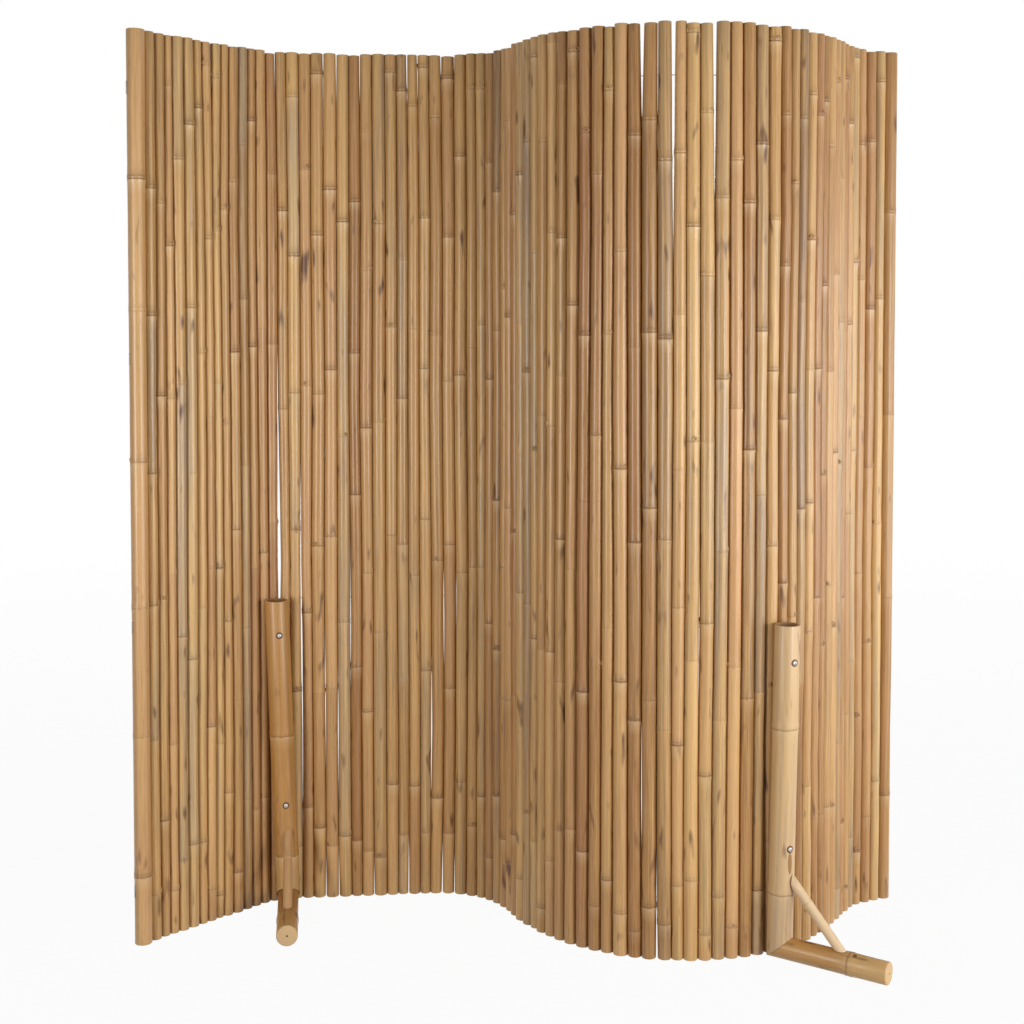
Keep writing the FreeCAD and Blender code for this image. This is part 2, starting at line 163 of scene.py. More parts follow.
def add_object(name: str, data: ID) -> Object:
    """Add an object to the scene.

    Args:
        name: The object's name.
        data: Its mesh, light or camera.

    Returns:
        The object, at the origin.
    """
    added = bpy.data.objects.new(name, data)
    bpy.context.scene.collection.objects.link(added)
    return added


def plain_mesh(piece: Object) -> Mesh:
    """Return an object's mesh as its modifiers leave it."""
    graph = bpy.context.evaluated_depsgraph_get()
    return bpy.data.meshes.new_from_object(piece.evaluated_get(graph), depsgraph=graph)


def store(mesh: Mesh, **columns: list) -> None:
    """Store values on the points of a mesh.

    Args:
        mesh: The mesh.
        **columns: Each attribute's name, and a number or a direction for every point.
    """
    for name, values in columns.items():
        if isinstance(values[0], Vector):
            flat = [part for value in values for part in value]
            mesh.attributes.new(name, "FLOAT_VECTOR", "POINT").data.foreach_set("vector", flat)
        else:
            mesh.attributes.new(name, "FLOAT", "POINT").data.foreach_set("value", values)


def declare(piece: Object, slot: str, *nodes: str) -> None:
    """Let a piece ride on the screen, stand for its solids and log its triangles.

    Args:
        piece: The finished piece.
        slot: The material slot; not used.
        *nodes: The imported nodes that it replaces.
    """
    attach(piece, "root")
    if nodes:
        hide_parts(*nodes)
    faces = sum(len(polygon.vertices) - 2 for polygon in piece.data.polygons)
    LOG.info("%s: %d triangles", piece.name, faces)


def solids_of(node: str) -> list[np.ndarray]:
    """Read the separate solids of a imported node.

    Args:
        node: The node's name.

    Returns:
        One array of corner points for each solid, always in the same order.
    """
    form = bmesh.new()
    form.from_mesh(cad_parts[node].data)
    bmesh.ops.remove_doubles(form, verts=form.verts, dist=SAME_PLACE)
    waiting = set(form.verts)
    solids = []
    for start in form.verts:
        if start not in waiting:
            continue
        waiting.remove(start)
        front = [start]
        corners = []
        while front:
            corner = front.pop()
            corners.append(tuple(corner.co))
            for edge in corner.link_edges:
                other = edge.other_vert(corner)
                if other in waiting:
                    waiting.remove(other)
                    front.append(other)
        solids.append(np.array(corners))
    form.free()
    return solids


def between(
    stops: list[tuple[float, float | Vector]], along: float, otherwise: float | Vector
) -> float | Vector:
    """Look a value up between the two stops that a place lies in.

    Args:
        stops: Places and values, in order.
        along: The place.
        otherwise: The value off the ends.

    Returns:
        The value, a straight share of the two stops.
    """
    for (low, first), (high, second) in zip(stops, stops[1:]):
        if low <= along <= high:
            return first + (second - first) * ((along - low) / (high - low))
    return otherwise


def lathe(name: str, outline: Outline, segments: int, sharp_deg: float = 40.0) -> Mesh:
    """Turn an outline about the Z axis.

    Args:
        name: The mesh's name.
        outline: Radius and height in millimetres, from the bottom up.
        segments: Faces round the axis.
        sharp_deg: Edges that turn more than this stay sharp.

    Returns:
        The smooth closed mesh.
    """
    form = bmesh.new()
    rings = []
    for radius, height in outline:
        ring = []
        for step in range(segments):
            turn = 2 * math.pi * step / segments
            spot = (radius * MM * math.cos(turn), radius * MM * math.sin(turn), height * MM)
            ring.append(form.verts.new(spot))
        rings.append(ring)
    for low, high in zip(rings, rings[1:]):
        for step in range(segments):
            after = (step + 1) % segments
            form.faces.new((low[step], low[after], high[after], high[step]))
    bmesh.ops.remove_doubles(form, verts=form.verts, dist=SAME_PLACE)
    bmesh.ops.holes_fill(form, edges=form.edges)
    bmesh.ops.recalc_face_normals(form, faces=form.faces)
    for face in form.faces:
        face.smooth = True
    for edge in form.edges:
        edge.smooth = len(edge.link_faces) == 2 and edge.calc_face_angle(0) < math.radians(sharp_deg)
    mesh = bpy.data.meshes.new(name)
    form.to_mesh(mesh)
    form.free()
    return mesh


def trim(piece: Object, point: Vector, keep: Vector, shows: SawnFace) -> None:
    """Saw a piece off on a plane and close it with a new face.

    Args:
        piece: The piece, with its skin's values on its corners.
        point: A point of the plane.
        keep: The plane's normal, towards what stays.
        shows: What the new face shows.
    """
    form = bmesh.new()
    form.from_mesh(piece.data)
    everything = form.verts[:] + form.edges[:] + form.faces[:]
    result = bmesh.ops.bisect_plane(
        form, geom=everything, dist=SAME_PLACE, plane_co=point, plane_no=keep, clear_inner=True
    )
    rim = [part for part in result["geom_cut"] if isinstance(part, bmesh.types.BMEdge)]
    filled = bmesh.ops.edgeloop_fill(form, edges=rim)["faces"]
    bmesh.ops.split_edges(form, edges=rim)
    fresh = form.verts.layers.float.get(shows.value)
    for face in filled:
        face.smooth = False
        for corner in face.verts:
            corner[fresh] = 1.0
    bmesh.ops.recalc_face_normals(form, faces=filled)
    for face in filled:
        if face.normal.dot(keep) > 0:
            face.normal_flip()
    form.to_mesh(piece.data)
    form.free()


@dataclass(frozen=True)
class BambooSkin:
    """Dried bamboo with its hard outer skin left on under a thin satin varnish.

    The skin gives long fibre streaks, a narrow bright line where a lamp stands, lengths that weather from
    straw to grey or russet, brown water stains, painted shade on the sides that face the neighbouring canes,
    a thin dark scar at each node and a pale band below it, partly wax and partly a painted highlight.
    node and a pale bloom below it.
    """

    name: str
    # From weathered grey through olive, straw and tan to russet.
    hues: tuple[str, ...] = ("#BCA586", "#C8A97A", "#D5AD70", "#D6AB70", "#D0A470", "#C99862")
    deep: str = "#B0967A"
    stain: str = "#522B0C"
    # The colour of the painted shade on the sides that face the neighbouring canes.
    seam_shade: str = "#67411B"
    scar: str = "#603A18"
    # The pale band below each node: partly wax, partly a painted highlight of the node's glint.
    bloom: str = "#DDBF92"
    cut: str = "#D9BD8C"
    # The inside of a hollow and the faces of a closed joint: painted shade.
    hollow: str = "#5C4328"
    # How far the hue drifts along a culm and from streak to streak, and how far streaks and fibres darken it.
    drift: float = 0.7
    fleck: float = 0.45
    mottle: float = 1.1
    grain: float = 0.9
    # How much painted shade darkens the sides, and how near they come to facing a neighbour where it begins.
    seam_shade_strength: float = 0.0
    seam_shade_from: float = 0.78
    # Where in the noise a stain begins and is full, and how much it covers.
    stain_edge: Triple = (0.655, 0.77, 0.9)
    ior: float = 1.48
    roughness: float = 0.4
    wear: float = 0.22
    sawn_roughness: float = 0.5
    coat: float = 0.13
    coat_roughness: float = 0.18
    # Width round the culm and length along it.
    # Fibres are a fraction of a millimetre wide: they are drawn as coarse as they need to be to show.
    fibre_mm: Pair = (1.5, 70)
    streak_mm: Pair = (4.5, 260)
    weather_mm: Pair = (60, 420)
    stain_mm: Pair = (17, 70)
    fibre_depth_mm: float = 0.12
    fibre_relief: float = 0.35
    noise_roughness: float = 0.55
    # How far apart the patterns of two culms lie.
    culm_step: float = 5.37

    def _pattern(self, tree: NodeTree, grain_mm: Pair, seed: float, detail: float) -> NodeSocket:
        """Add a noise drawn out along the culm, different on each culm.

        Args:
            tree: The material's tree.
            grain_mm: Width round the culm and length along it.
            seed: Keeps this pattern apart from the others.
            detail: Octaves of finer noise.

        Returns:
            The noise, about a half on average.
        """
        skin = add_node(tree, "ShaderNodeAttribute", attribute_name="skin").outputs["Vector"]
        number = add_node(tree, "ShaderNodeAttribute", attribute_name="culm").outputs["Fac"]
        width, length = (1 / (size * MM) for size in grain_mm)
        drawn_out = {0: skin, 1: (width, width, length)}
        place = add_node(tree, "ShaderNodeVectorMath", drawn_out, operation="MULTIPLY")
        apart = {0: number, 1: self.culm_step, 2: seed}
        own = add_node(tree, "ShaderNodeMath", apart, operation="MULTIPLY_ADD")
        noise = add_node(
            tree,
            "ShaderNodeTexNoise",
            {"Vector": place, "W": own, "Scale": 1.0, "Detail": detail, "Roughness": self.noise_roughness},
            noise_dimensions="4D",
        )
        return noise.outputs["Fac"]

    def _seam_shade(self, tree: NodeTree) -> Node:
        """Find how much painted shade lies on the sides that face the neighbours in the row.

        Args:
            tree: The material's tree.

        Returns:
            The node with the amount.
        """
        skin = add_node(tree, "ShaderNodeAttribute", attribute_name="skin").outputs["Vector"]
        level = add_node(tree, "ShaderNodeVectorMath", {0: skin, 1: (1, 1, 0)}, operation="MULTIPLY")
        facing = add_node(tree, "ShaderNodeVectorMath", {0: level}, operation="NORMALIZE")
        sideways = add_node(tree, "ShaderNodeSeparateXYZ", {0: facing})
        near = add_node(tree, "ShaderNodeMath", {0: sideways}, operation="ABSOLUTE")
        shading = {"Value": near, "From Min": self.seam_shade_from, "To Max": self.seam_shade_strength}
        return add_node(tree, "ShaderNodeMapRange", shading, interpolation_type="SMOOTHSTEP")

    def _hue(self, tree: NodeTree, place: Node) -> NodeSocket:
        """Look the hue up among the skin's own.

        Args:
            tree: The material's tree.
            place: Where between the first hue and the last.

        Returns:
            The colour.
        """
        ramp = add_node(tree, "ShaderNodeValToRGB", {"Fac": place})
        stops = ramp.color_ramp.elements
        stops[0].color, stops[1].color = linear(self.hues[0]), linear(self.hues[-1])
        for step, tint in enumerate(self.hues[1:-1], start=1):
            stops.new(step / (len(self.hues) - 1)).color = linear(tint)
        return ramp.outputs["Color"]

    @cache
    def material(self) -> Material:
        """Build the node material, once.

        Returns:
            The material.
        """
        material, tree = new_material(self.name)
        # Each pattern's size, the seed that keeps it apart from the others, and its octaves of finer noise.
        fibre, streak, weather, blot = (
            self._pattern(tree, size_mm, seed, detail)
            for size_mm, seed, detail in (
                (self.fibre_mm, 1.0, 3.0),
                (self.streak_mm, 40.0, 3.0),
                (self.weather_mm, 90.0, 2.0),
                (self.stain_mm, 140.0, 1.0),
            )
        )
        amount = {
            name: add_node(tree, "ShaderNodeAttribute", attribute_name=name).outputs["Fac"]
            for name in ("tone", "tint", "scar", "bloom", "cut", "bore", "knot")
        }
        # Each noise swings about a middle of its own.
        swung = []
        for noise, swing, middle in (
            (weather, self.drift, 0.0),
            (streak, self.fleck, 0.0),
            (streak, self.mottle, 0.0),
            (fibre, self.grain, 0.0),
            (streak, self.wear, self.roughness),
        ):
            terms = {0: noise, 1: swing, 2: middle - swing / 2}
            swung.append(add_node(tree, "ShaderNodeMath", terms, operation="MULTIPLY_ADD"))
        drift, fleck, mottle, grain, worn = swung
        # The culm's own hue drifts along and round it; its tone goes with its streaks and fibres.
        sums = []
        for own, parts in ((amount["tint"], (drift, fleck)), (amount["tone"], (mottle, grain))):
            for part in parts:
                own = add_node(tree, "ShaderNodeMath", {0: own, 1: part}, operation="ADD")
            sums.append(own)
        aged, shade = sums
        depths = {0: shade, MIX_FROM: linear(self.deep), MIX_TO: linear(WHITE)}
        dimmed = add_node(tree, "ShaderNodeMix", depths, data_type="RGBA").outputs[MIX_RESULT]
        parts = {0: 1.0, MIX_FROM: self._hue(tree, aged), MIX_TO: dimmed}
        product = add_node(tree, "ShaderNodeMix", parts, data_type="RGBA", blend_type="MULTIPLY")
        colour = product.outputs[MIX_RESULT]
        begin, full, cover = self.stain_edge
        stained = add_node(
            tree, "ShaderNodeMapRange", {"Value": blot, "From Min": begin, "From Max": full, "To Max": cover}
        )
        for part, tint in (
            # Painted shade on the sides that face the neighbouring canes.
            (self._seam_shade(tree), self.seam_shade),
            # A pale band under each node: partly wax, partly a painted highlight.
            (amount["bloom"], self.bloom),
            (stained, self.stain),
            (amount["scar"], self.scar),
            # Knots, branch scars and the shaved strip, and the painted shade round the screws.
            (amount["knot"], self.stain),
            (amount["cut"], self.cut),
            # Hollows and closed joints in painted shade, darkest deep inside a hollow.
            (amount["bore"], self.hollow),
        ):
            layers = {0: part, MIX_FROM: colour, MIX_TO: linear(tint)}
            colour = add_node(tree, "ShaderNodeMix", layers, data_type="RGBA").outputs[MIX_RESULT]
        # Sawn faces and bores have no skin: they are rough, with no varnish.
        sawn = add_node(
            tree, "ShaderNodeMath", {0: amount["cut"], 1: amount["bore"]}, operation="ADD", use_clamp=True
        )
        dull, varnish = (
            add_node(tree, "ShaderNodeMath", {0: sawn, 1: change, 2: plain}, operation="MULTIPLY_ADD")
            for change, plain in ((self.sawn_roughness, worn), (-self.coat, self.coat))
        )
        relief = add_node(
            tree,
            "ShaderNodeBump",
            {"Height": fibre, "Distance": self.fibre_depth_mm * MM, "Strength": self.fibre_relief},
        )
        shader = add_node(
            tree,
            "ShaderNodeBsdfPrincipled",
            {
                "Base Color": colour,
                "Roughness": dull,
                "Normal": relief,
                "IOR": self.ior,
                "Coat Weight": varnish,
                "Coat Roughness": self.coat_roughness,
            },
        )
        add_node(tree, "ShaderNodeOutputMaterial", {"Surface": shader})
        return material


@dataclass(frozen=True)
class ZincCoat:
    """Steel with a dull zinc coat, drawn into wire or formed into screws: grey, soft gleam, faint spangle."""

    name: str
    light: str = "#B9B8B4"
    dark: str = "#7C7B78"
    roughness: float = 0.38
    wear: float = 0.2
    spangle_mm: float = 2.5
    spangle_detail: float = 3.0

    def material(self) -> Material:
        """Build the node material.

        Returns:
            The material.
        """
        material, tree = new_material(self.name)
        place = add_node(tree, "ShaderNodeTexCoord").outputs["Object"]
        spangle = {"Vector": place, "Scale": 1 / (self.spangle_mm * MM), "Detail": self.spangle_detail}
        noise = add_node(tree, "ShaderNodeTexNoise", spangle).outputs["Fac"]
        greys = {0: noise, MIX_FROM: linear(self.dark), MIX_TO: linear(self.light)}
        colour = add_node(tree, "ShaderNodeMix", greys, data_type="RGBA").outputs[MIX_RESULT]
        worn = {0: noise, 1: self.wear, 2: self.roughness - self.wear / 2}
        rough = add_node(tree, "ShaderNodeMath", worn, operation="MULTIPLY_ADD")
        shader = add_node(
            tree, "ShaderNodeBsdfPrincipled", {"Base Color": colour, "Metallic": 1.0, "Roughness": rough}
        )
        add_node(tree, "ShaderNodeOutputMaterial", {"Surface": shader})
        return material


# The canes differ most in hue, and have painted shade on their sides where they meet.
CANE_SKIN = BambooSkin("varnished_bamboo_cane", seam_shade_strength=0.3, fleck=1.1)
# The stouter culms of the feet are evener, with paler scars.
FOOT_SKIN = BambooSkin(
    "varnished_bamboo_culm",
    hues=("#C6AA86", "#CBA97A", "#CCA66A", "#CB9A56"),
    deep="#B9A286",
    fleck=1.0,
    scar="#7A5733",
    cut="#CFAE82",
    hollow="#8A643C",
    roughness=0.42,
    coat=0.12,
)
# With the skin shaved off, the braces are pale and matt, with no varnish.
PEELED_SKIN = BambooSkin(
    "peeled_bamboo_stick",
    hues=("#DDC39E", "#D8BB95", "#CFAC82", "#C29A6A"),
    deep="#D8C6B0",
    stain="#A98255",
    scar="#9A744A",
    roughness=0.55,
    coat=0.0,
)
# Dipped zinc is darker and duller than the plating on the screws.
WIRE_ZINC = ZincCoat("galvanised_wire")
SCREW_ZINC = ZincCoat("zinc_plated_screw", light="#DAD8D2", dark="#8F8C86", roughness=0.36)


@dataclass
class Ring:
    """One ring of a culm's outline: where its centre is, how far out its skin is and what shows there."""

    centre: Vector
    girth: float
    along: float
    scar: float = 0.0
    bloom: float = 0.0
    cut: float = 0.0
    bore: float = 0.0


@dataclass
class Culm:
    """A length of bamboo between two cut ends, with its nodes and its own colour."""

    number: int
    foot: Vector
    top: Vector
    foot_radius: float
    top_radius: float
    tone: float = 0.5
    tint: float = 0.5
    row: Vector = field(default_factory=lambda: Vector((1, 0, 0)))
    nodes: list[float] = field(default_factory=list)
    # How plain each node is, from a faint ring to a full one.
    marks: list[float] = field(default_factory=list)
    # How far each internode's tone and tint depart from the culm's own, from the foot up.
    turns: list[Pair] = field(default_factory=list)
    bends: list[tuple[float, Vector]] = field(default_factory=list)
    growth: list[Pair] = field(default_factory=list)
    wall: float = 0.0
    foot_bore: float = 0.0
    top_bore: float = 0.0
    swell: float = 1.0
    bulge: float = 1.0
    # A faint node still swells by this share of a full one.
    faint: float = 0.4
    ease: float = 0.5 * MM
    ease_turns_deg: tuple[float, ...] = (0, 30, 60, 85)
    hair: float = 0.02 * MM
    end_margin: float = 2 * MM
    # How dark the painted shade inside a hollow is at its mouth; deeper in, it is full.
    mouth_shade: float = 0.7
    # A culm whose axis rises by more than this stands, and its rings lie level.
    stands_from: float = 0.9

    def length(self) -> float:
        """Return the culm's length."""
        return (self.top - self.foot).length

    def across(self) -> tuple[Vector, Vector]:
        """Find the directions that its rings lie in.

        Returns:
            Two directions square to the culm, level with its cut ends.
        """
        axis = (self.top - self.foot).normalized()
        if abs(axis.z) > self.stands_from:
            return self.row, UP.cross(self.row)
        side = UP.cross(axis).normalized()
        return side, axis.cross(side)

    def centre_at(self, along: float) -> Vector:
        """Return a point of the axis, with the culm's bends."""
        straight = self.foot.lerp(self.top, along / self.length())
        return straight + between(self.bends, along, Vector((0, 0, 0)))

    def radius_at(self, along: float) -> float:
        """Return the plain radius a given way along."""
        plain = self.foot_radius + (self.top_radius - self.foot_radius) * along / self.length()
        return plain + between(self.growth, along, 0.0)

    def colour_at(self, along: float) -> Pair:
        """Find the colour of the internode that a place lies in.

        Args:
            along: The place.

        Returns:
            The tone and tint.
        """
        if not self.turns:
            return self.tone, self.tint
        tone, tint = self.turns[sum(node < along for node in self.nodes)]
        return self.tone + tone, self.tint + tint

    def end(self, along: float, inward: float, bore: float) -> list[Ring]:
        """Lay the rings of a cut end, from the middle out to the rim.

        Args:
            along: Where the end is cut.
            inward: 1 if the culm goes on from here, or -1 if it ends here.
            bore: Depth of the open hollow, or zero for a solid end.

        Returns:
            The rings of the hollow, if there is one, and of the cut face.
        """
        centre = self.centre_at(along)
        rim = self.radius_at(along)
        if bore:
            inner = rim - self.wall
            deep = self.centre_at(along + inward * bore)
            # The inside of the hollow is painted shade: full deep in, less at the mouth.
            rings = [
                Ring(deep, 0.0, along, bore=1.0),
                Ring(deep, inner, along, bore=1.0),
                Ring(centre, inner - self.hair, along, bore=self.mouth_shade),
                Ring(centre, inner, along, cut=1.0),
            ]
        else:
            rings = [Ring(centre, rim * share, along, cut=1.0) for share in (0.0, 0.5)]
        for turn in map(math.radians, self.ease_turns_deg):
            back = self.ease * (1 - math.cos(turn))
            girth = rim - self.ease * (1 - math.sin(turn))
            rings.append(Ring(self.centre_at(along + inward * back), girth, along, cut=math.cos(turn)))
        return rings

    def outline(self, profile: Profile) -> list[Ring]:
        """Lay every ring from the foot's middle, up the skin, to the top's middle.

        Args:
            profile: A node's rings.

        Returns:
            The rings in order.
        """
        length = self.length()
        rings = [Ring(self.centre_at(along), self.radius_at(along), along) for along, _ in self.bends]
        for node, mark in zip(self.nodes, self.marks or [1.0] * len(self.nodes)):
            low, high = (node + offset * MM * self.swell for offset in (profile[0][0], profile[-1][0]))
            rings = [ring for ring in rings if not low <= ring.along <= high]
            rise = self.swell * self.bulge * (self.faint + (1 - self.faint) * mark)
            for offset, swell, scar, bloom in profile:
                along = node + offset * MM * self.swell
                girth = self.radius_at(along) + swell * MM * rise
                rings.append(Ring(self.centre_at(along), girth, along, scar=scar * mark, bloom=bloom * mark))
        rings = [ring for ring in rings if self.end_margin < ring.along < length - self.end_margin]
        rings.sort(key=lambda ring: ring.along)
        return self.end(0.0, 1.0, self.foot_bore) + rings + self.end(length, -1.0, self.top_bore)[::-1]


class FormTree:
    """A Geometry Nodes tree that starts from a mesh and ends in plain geometry with one finish."""

    SMOOTH = True

    def __init__(self, name: str, **kinds: str) -> None:
        """Open the tree, let the form add its nodes, and end it.

        Args:
            name: The tree's name.
            **kinds: Each further input's name and kind of socket.
        """
        self.tree = bpy.data.node_groups.new(name, "GeometryNodeTree")
        for label, kind in {"Base": "Geometry", **kinds, "Finish": "Material"}.items():
            self.tree.interface.new_socket(label, in_out="INPUT", socket_type=f"NodeSocket{kind}")
        self.tree.interface.new_socket("Piece", in_out="OUTPUT", socket_type="NodeSocketGeometry")
        given = add_node(self.tree, "NodeGroupInput").outputs
        real = add_node(self.tree, "GeometryNodeRealizeInstances", {"Geometry": self.shape(given)})
        dressing = {"Geometry": real, "Material": given["Finish"]}
        dressed = add_node(self.tree, "GeometryNodeSetMaterial", dressing)
        add_node(self.tree, "NodeGroupOutput", {"Piece": dressed})

    def shape(self, given: NodeOutputs) -> Node:
        """Add the form's own nodes; each form has its own."""
        raise NotImplementedError

    def run(self, name: str, base: Mesh, **inputs: object) -> Object:
        """Run the tree on a mesh and keep the result as a plain mesh.

        Args:
            name: The piece's name.
            base: What the tree starts from.
            **inputs: The tree's named inputs.

        Returns:
            The finished object, at the origin, with no modifier.
        """
        piece = add_object(name, base)
        modifier = piece.modifiers.new("form", "NODES")
        modifier.node_group = self.tree
        for item in self.tree.interface.items_tree:
            if item.in_out == "INPUT" and item.name in inputs:
                modifier[item.identifier] = inputs[item.name]
        finished = plain_mesh(piece)
        piece.modifiers.clear()
        piece.data = finished
        finished.name = name
        # The tree leaves an empty slot in front of its one material.
        finish = finished.materials[-1]
        finished.materials.clear()
        finished.materials.append(finish)
        finished.polygons.foreach_set("material_index", [0] * len(finished.polygons))
        if self.SMOOTH:
            finished.polygons.foreach_set("use_smooth", [True] * len(finished.polygons))
        return piece


class CulmForm(FormTree):
    """The tree that turns outlines, one point for each ring, into bamboo skin."""

    NUMBERS = ("girth", "culm", "along", "tone", "tint", "scar", "bloom", "cut", "bore")
    DIRECTIONS = ("side", "front")
    SHARP_DEG = 38.0

    def __init__(self) -> None:
        """Build the tree."""
        super().__init__("culm_skin", Segments="Int")

    def shape(self, given: NodeOutputs) -> Node:
        """Wrap a grid of rings by segments round the outline.

        Args:
            given: The tree's inputs.

        Returns:
            The node with the culms.
        """
        tree = self.tree
        outline = given["Base"]
        tally = add_node(tree, "GeometryNodeAttributeDomainSize", {"Geometry": outline}, component="MESH")
        rings = tally.outputs["Point Count"]
        seamed = add_node(tree, "ShaderNodeMath", {0: given["Segments"], 1: 1.0}, operation="ADD")
        size = {"Size X": 1.0, "Size Y": 1.0, "Vertices X": rings, "Vertices Y": seamed}
        geometry = add_node(tree, "GeometryNodeMeshGrid", size)
        # A corner's place on the grid tells its ring and its turn round the culm.
        flat = add_node(tree, "ShaderNodeSeparateXYZ", {0: add_node(tree, "GeometryNodeInputPosition")})
        spans = add_node(tree, "ShaderNodeMath", {0: rings, 1: 1.0}, operation="SUBTRACT")
        share = add_node(tree, "ShaderNodeMath", {0: flat, 1: 0.5}, operation="ADD")
        row = add_node(tree, "ShaderNodeMath", {0: share, 1: spans}, operation="MULTIPLY")
        ring = add_node(tree, "FunctionNodeFloatToInt", {0: row}, rounding_mode="ROUND")
        whole = {0: flat.outputs["Y"], 1: 2 * math.pi, 2: math.pi}
        turn = add_node(tree, "ShaderNodeMath", whole, operation="MULTIPLY_ADD")
        stored = {"centre": ("FLOAT_VECTOR", add_node(tree, "GeometryNodeInputPosition"))}
        for names, kind in ((self.NUMBERS, "FLOAT"), (self.DIRECTIONS, "FLOAT_VECTOR")):
            for name in names:
                value = add_node(tree, "GeometryNodeInputNamedAttribute", {"Name": name}, data_type=kind)
                stored[name] = kind, value
        fields = {}
        for name, (kind, value) in stored.items():
            source = {"Geometry": outline, "Value": value, "Index": ring}
            fields[name] = add_node(tree, "GeometryNodeSampleIndex", source, data_type=kind, domain="POINT")
        out = []
        for wave in ("COSINE", "SINE"):
            swing = add_node(tree, "ShaderNodeMath", {0: turn}, operation=wave)
            out.append(add_node(tree, "ShaderNodeMath", {0: swing, 1: fields["girth"]}, operation="MULTIPLY"))
        place = fields["centre"]
        for name, reach in zip(self.DIRECTIONS, out):
            arm = add_node(tree, "ShaderNodeVectorMath", {0: fields[name], "Scale": reach}, operation="SCALE")
            place = add_node(tree, "ShaderNodeVectorMath", {0: place, 1: arm}, operation="ADD")
        skin = add_node(tree, "ShaderNodeCombineXYZ", {"X": out[0], "Y": out[1], "Z": fields["along"]})
        kept = [(name, "FLOAT", fields[name]) for name in self.NUMBERS[1:]] + [("skin", "FLOAT_VECTOR", skin)]
        for name, kind, value in kept:
            entry = {"Geometry": geometry, "Name": name, "Value": value}
            geometry = add_node(
                tree, "GeometryNodeStoreNamedAttribute", entry, data_type=kind, domain="POINT"
            )
        geometry = add_node(tree, "GeometryNodeSetPosition", {"Geometry": geometry, "Position": place})
        # A face that bridges two culms has a mean number between theirs.
        number = add_node(tree, "GeometryNodeInputNamedAttribute", {"Name": "culm"}, data_type="FLOAT")
        part = add_node(tree, "ShaderNodeMath", {0: number}, operation="FRACT")
        bridge = add_node(tree, "ShaderNodeMath", {0: part, 1: 0.5, 2: 0.4}, operation="COMPARE")
        geometry = add_node(
            tree, "GeometryNodeDeleteGeometry", {"Geometry": geometry, "Selection": bridge}, domain="FACE"
        )
        doubles = {"Geometry": geometry, "Distance": SAME_PLACE}
        geometry = add_node(tree, "GeometryNodeMergeByDistance", doubles)
        angle = add_node(tree, "GeometryNodeInputMeshEdgeAngle").outputs["Unsigned Angle"]
        limit = {0: angle, 1: math.radians(self.SHARP_DEG)}
        sharp = add_node(tree, "ShaderNodeMath", limit, operation="GREATER_THAN")
        entry = {"Geometry": geometry, "Name": "sharp_edge", "Value": sharp}
        return add_node(tree, "GeometryNodeStoreNamedAttribute", entry, data_type="BOOLEAN", domain="EDGE")

    def grow(self, name: str, culms: list[Culm], profile: Profile, segments: int, skin: Material) -> Object:
        """Build the skins of a few culms as one piece.

        Args:
            name: The piece's name.
            culms: The culms, with numbers that differ.
            profile: The rings of their nodes.
            segments: Faces round a culm.
            skin: The material.

        Returns:
            The finished piece.
        """
        columns = {key: [] for key in self.NUMBERS + self.DIRECTIONS}
        centres = []
        for culm in culms:
            side, front = culm.across()
            for ring in culm.outline(profile):
                tone, tint = culm.colour_at(ring.along)
                own = {"culm": float(culm.number), "tone": tone, "tint": tint, "side": side, "front": front}
                for key, values in columns.items():
                    values.append(own[key] if key in own else getattr(ring, key))
                centres.append(ring.centre)
        mesh = bpy.data.meshes.new(f"{name}_outline")
        mesh.from_pydata(centres, [], [])
        store(mesh, **columns)
        return self.run(name, mesh, Segments=segments, Finish=skin)


class PointForm(FormTree):
    """The tree that sets a small shape on points, turned to each point's axis."""

    SMOOTH = False

    def __init__(self) -> None:
        """Build the tree."""
        super().__init__("set_on_points", Shape="Object")

    def shape(self, given: NodeOutputs) -> Node:
        """Set the shape on every point.

        Args:
            given: The tree's inputs.

        Returns:
            The node with the set shapes.
        """
        tree = self.tree
        axis, spin, scale = (
            add_node(tree, "GeometryNodeInputNamedAttribute", {"Name": name}, data_type=kind)
            for name, kind in (("axis", "FLOAT_VECTOR"), ("spin", "FLOAT"), ("scale", "FLOAT_VECTOR"))
        )
        facing = add_node(tree, "FunctionNodeAlignRotationToVector", {"Vector": axis}, axis="Z")
        about = add_node(tree, "ShaderNodeCombineXYZ", {"Z": spin})
        turning = {"Rotation": facing, "Rotate By": about}
        turned = add_node(tree, "FunctionNodeRotateRotation", turning, rotation_space="LOCAL")
        model = add_node(tree, "GeometryNodeObjectInfo", {"Object": given["Shape"]}).outputs["Geometry"]
        return add_node(
            tree,
            "GeometryNodeInstanceOnPoints",
            {"Points": given["Base"], "Instance": model, "Rotation": turned, "Scale": scale},
        )

    def place(
        self, name: str, shape: Mesh, points: list[Vector], finish: Material, **columns: list
    ) -> Object:
        """Set a shape on points as one piece.

        Args:
            name: The piece's name.
            shape: What is set, standing on its own Z axis.
            points: Where.
            finish: The material.
            **columns: Values for each point; axis, scale and spin, a turn about the axis, are needed.

        Returns:
            The finished piece.
        """
        model = bpy.data.objects.new(f"{name}_shape", shape)
        mesh = bpy.data.meshes.new(f"{name}_points")
        mesh.from_pydata(points, [], [])
        store(mesh, **columns)
        piece = self.run(name, mesh, Shape=model, Finish=finish)
        bpy.data.objects.remove(model)
        return piece


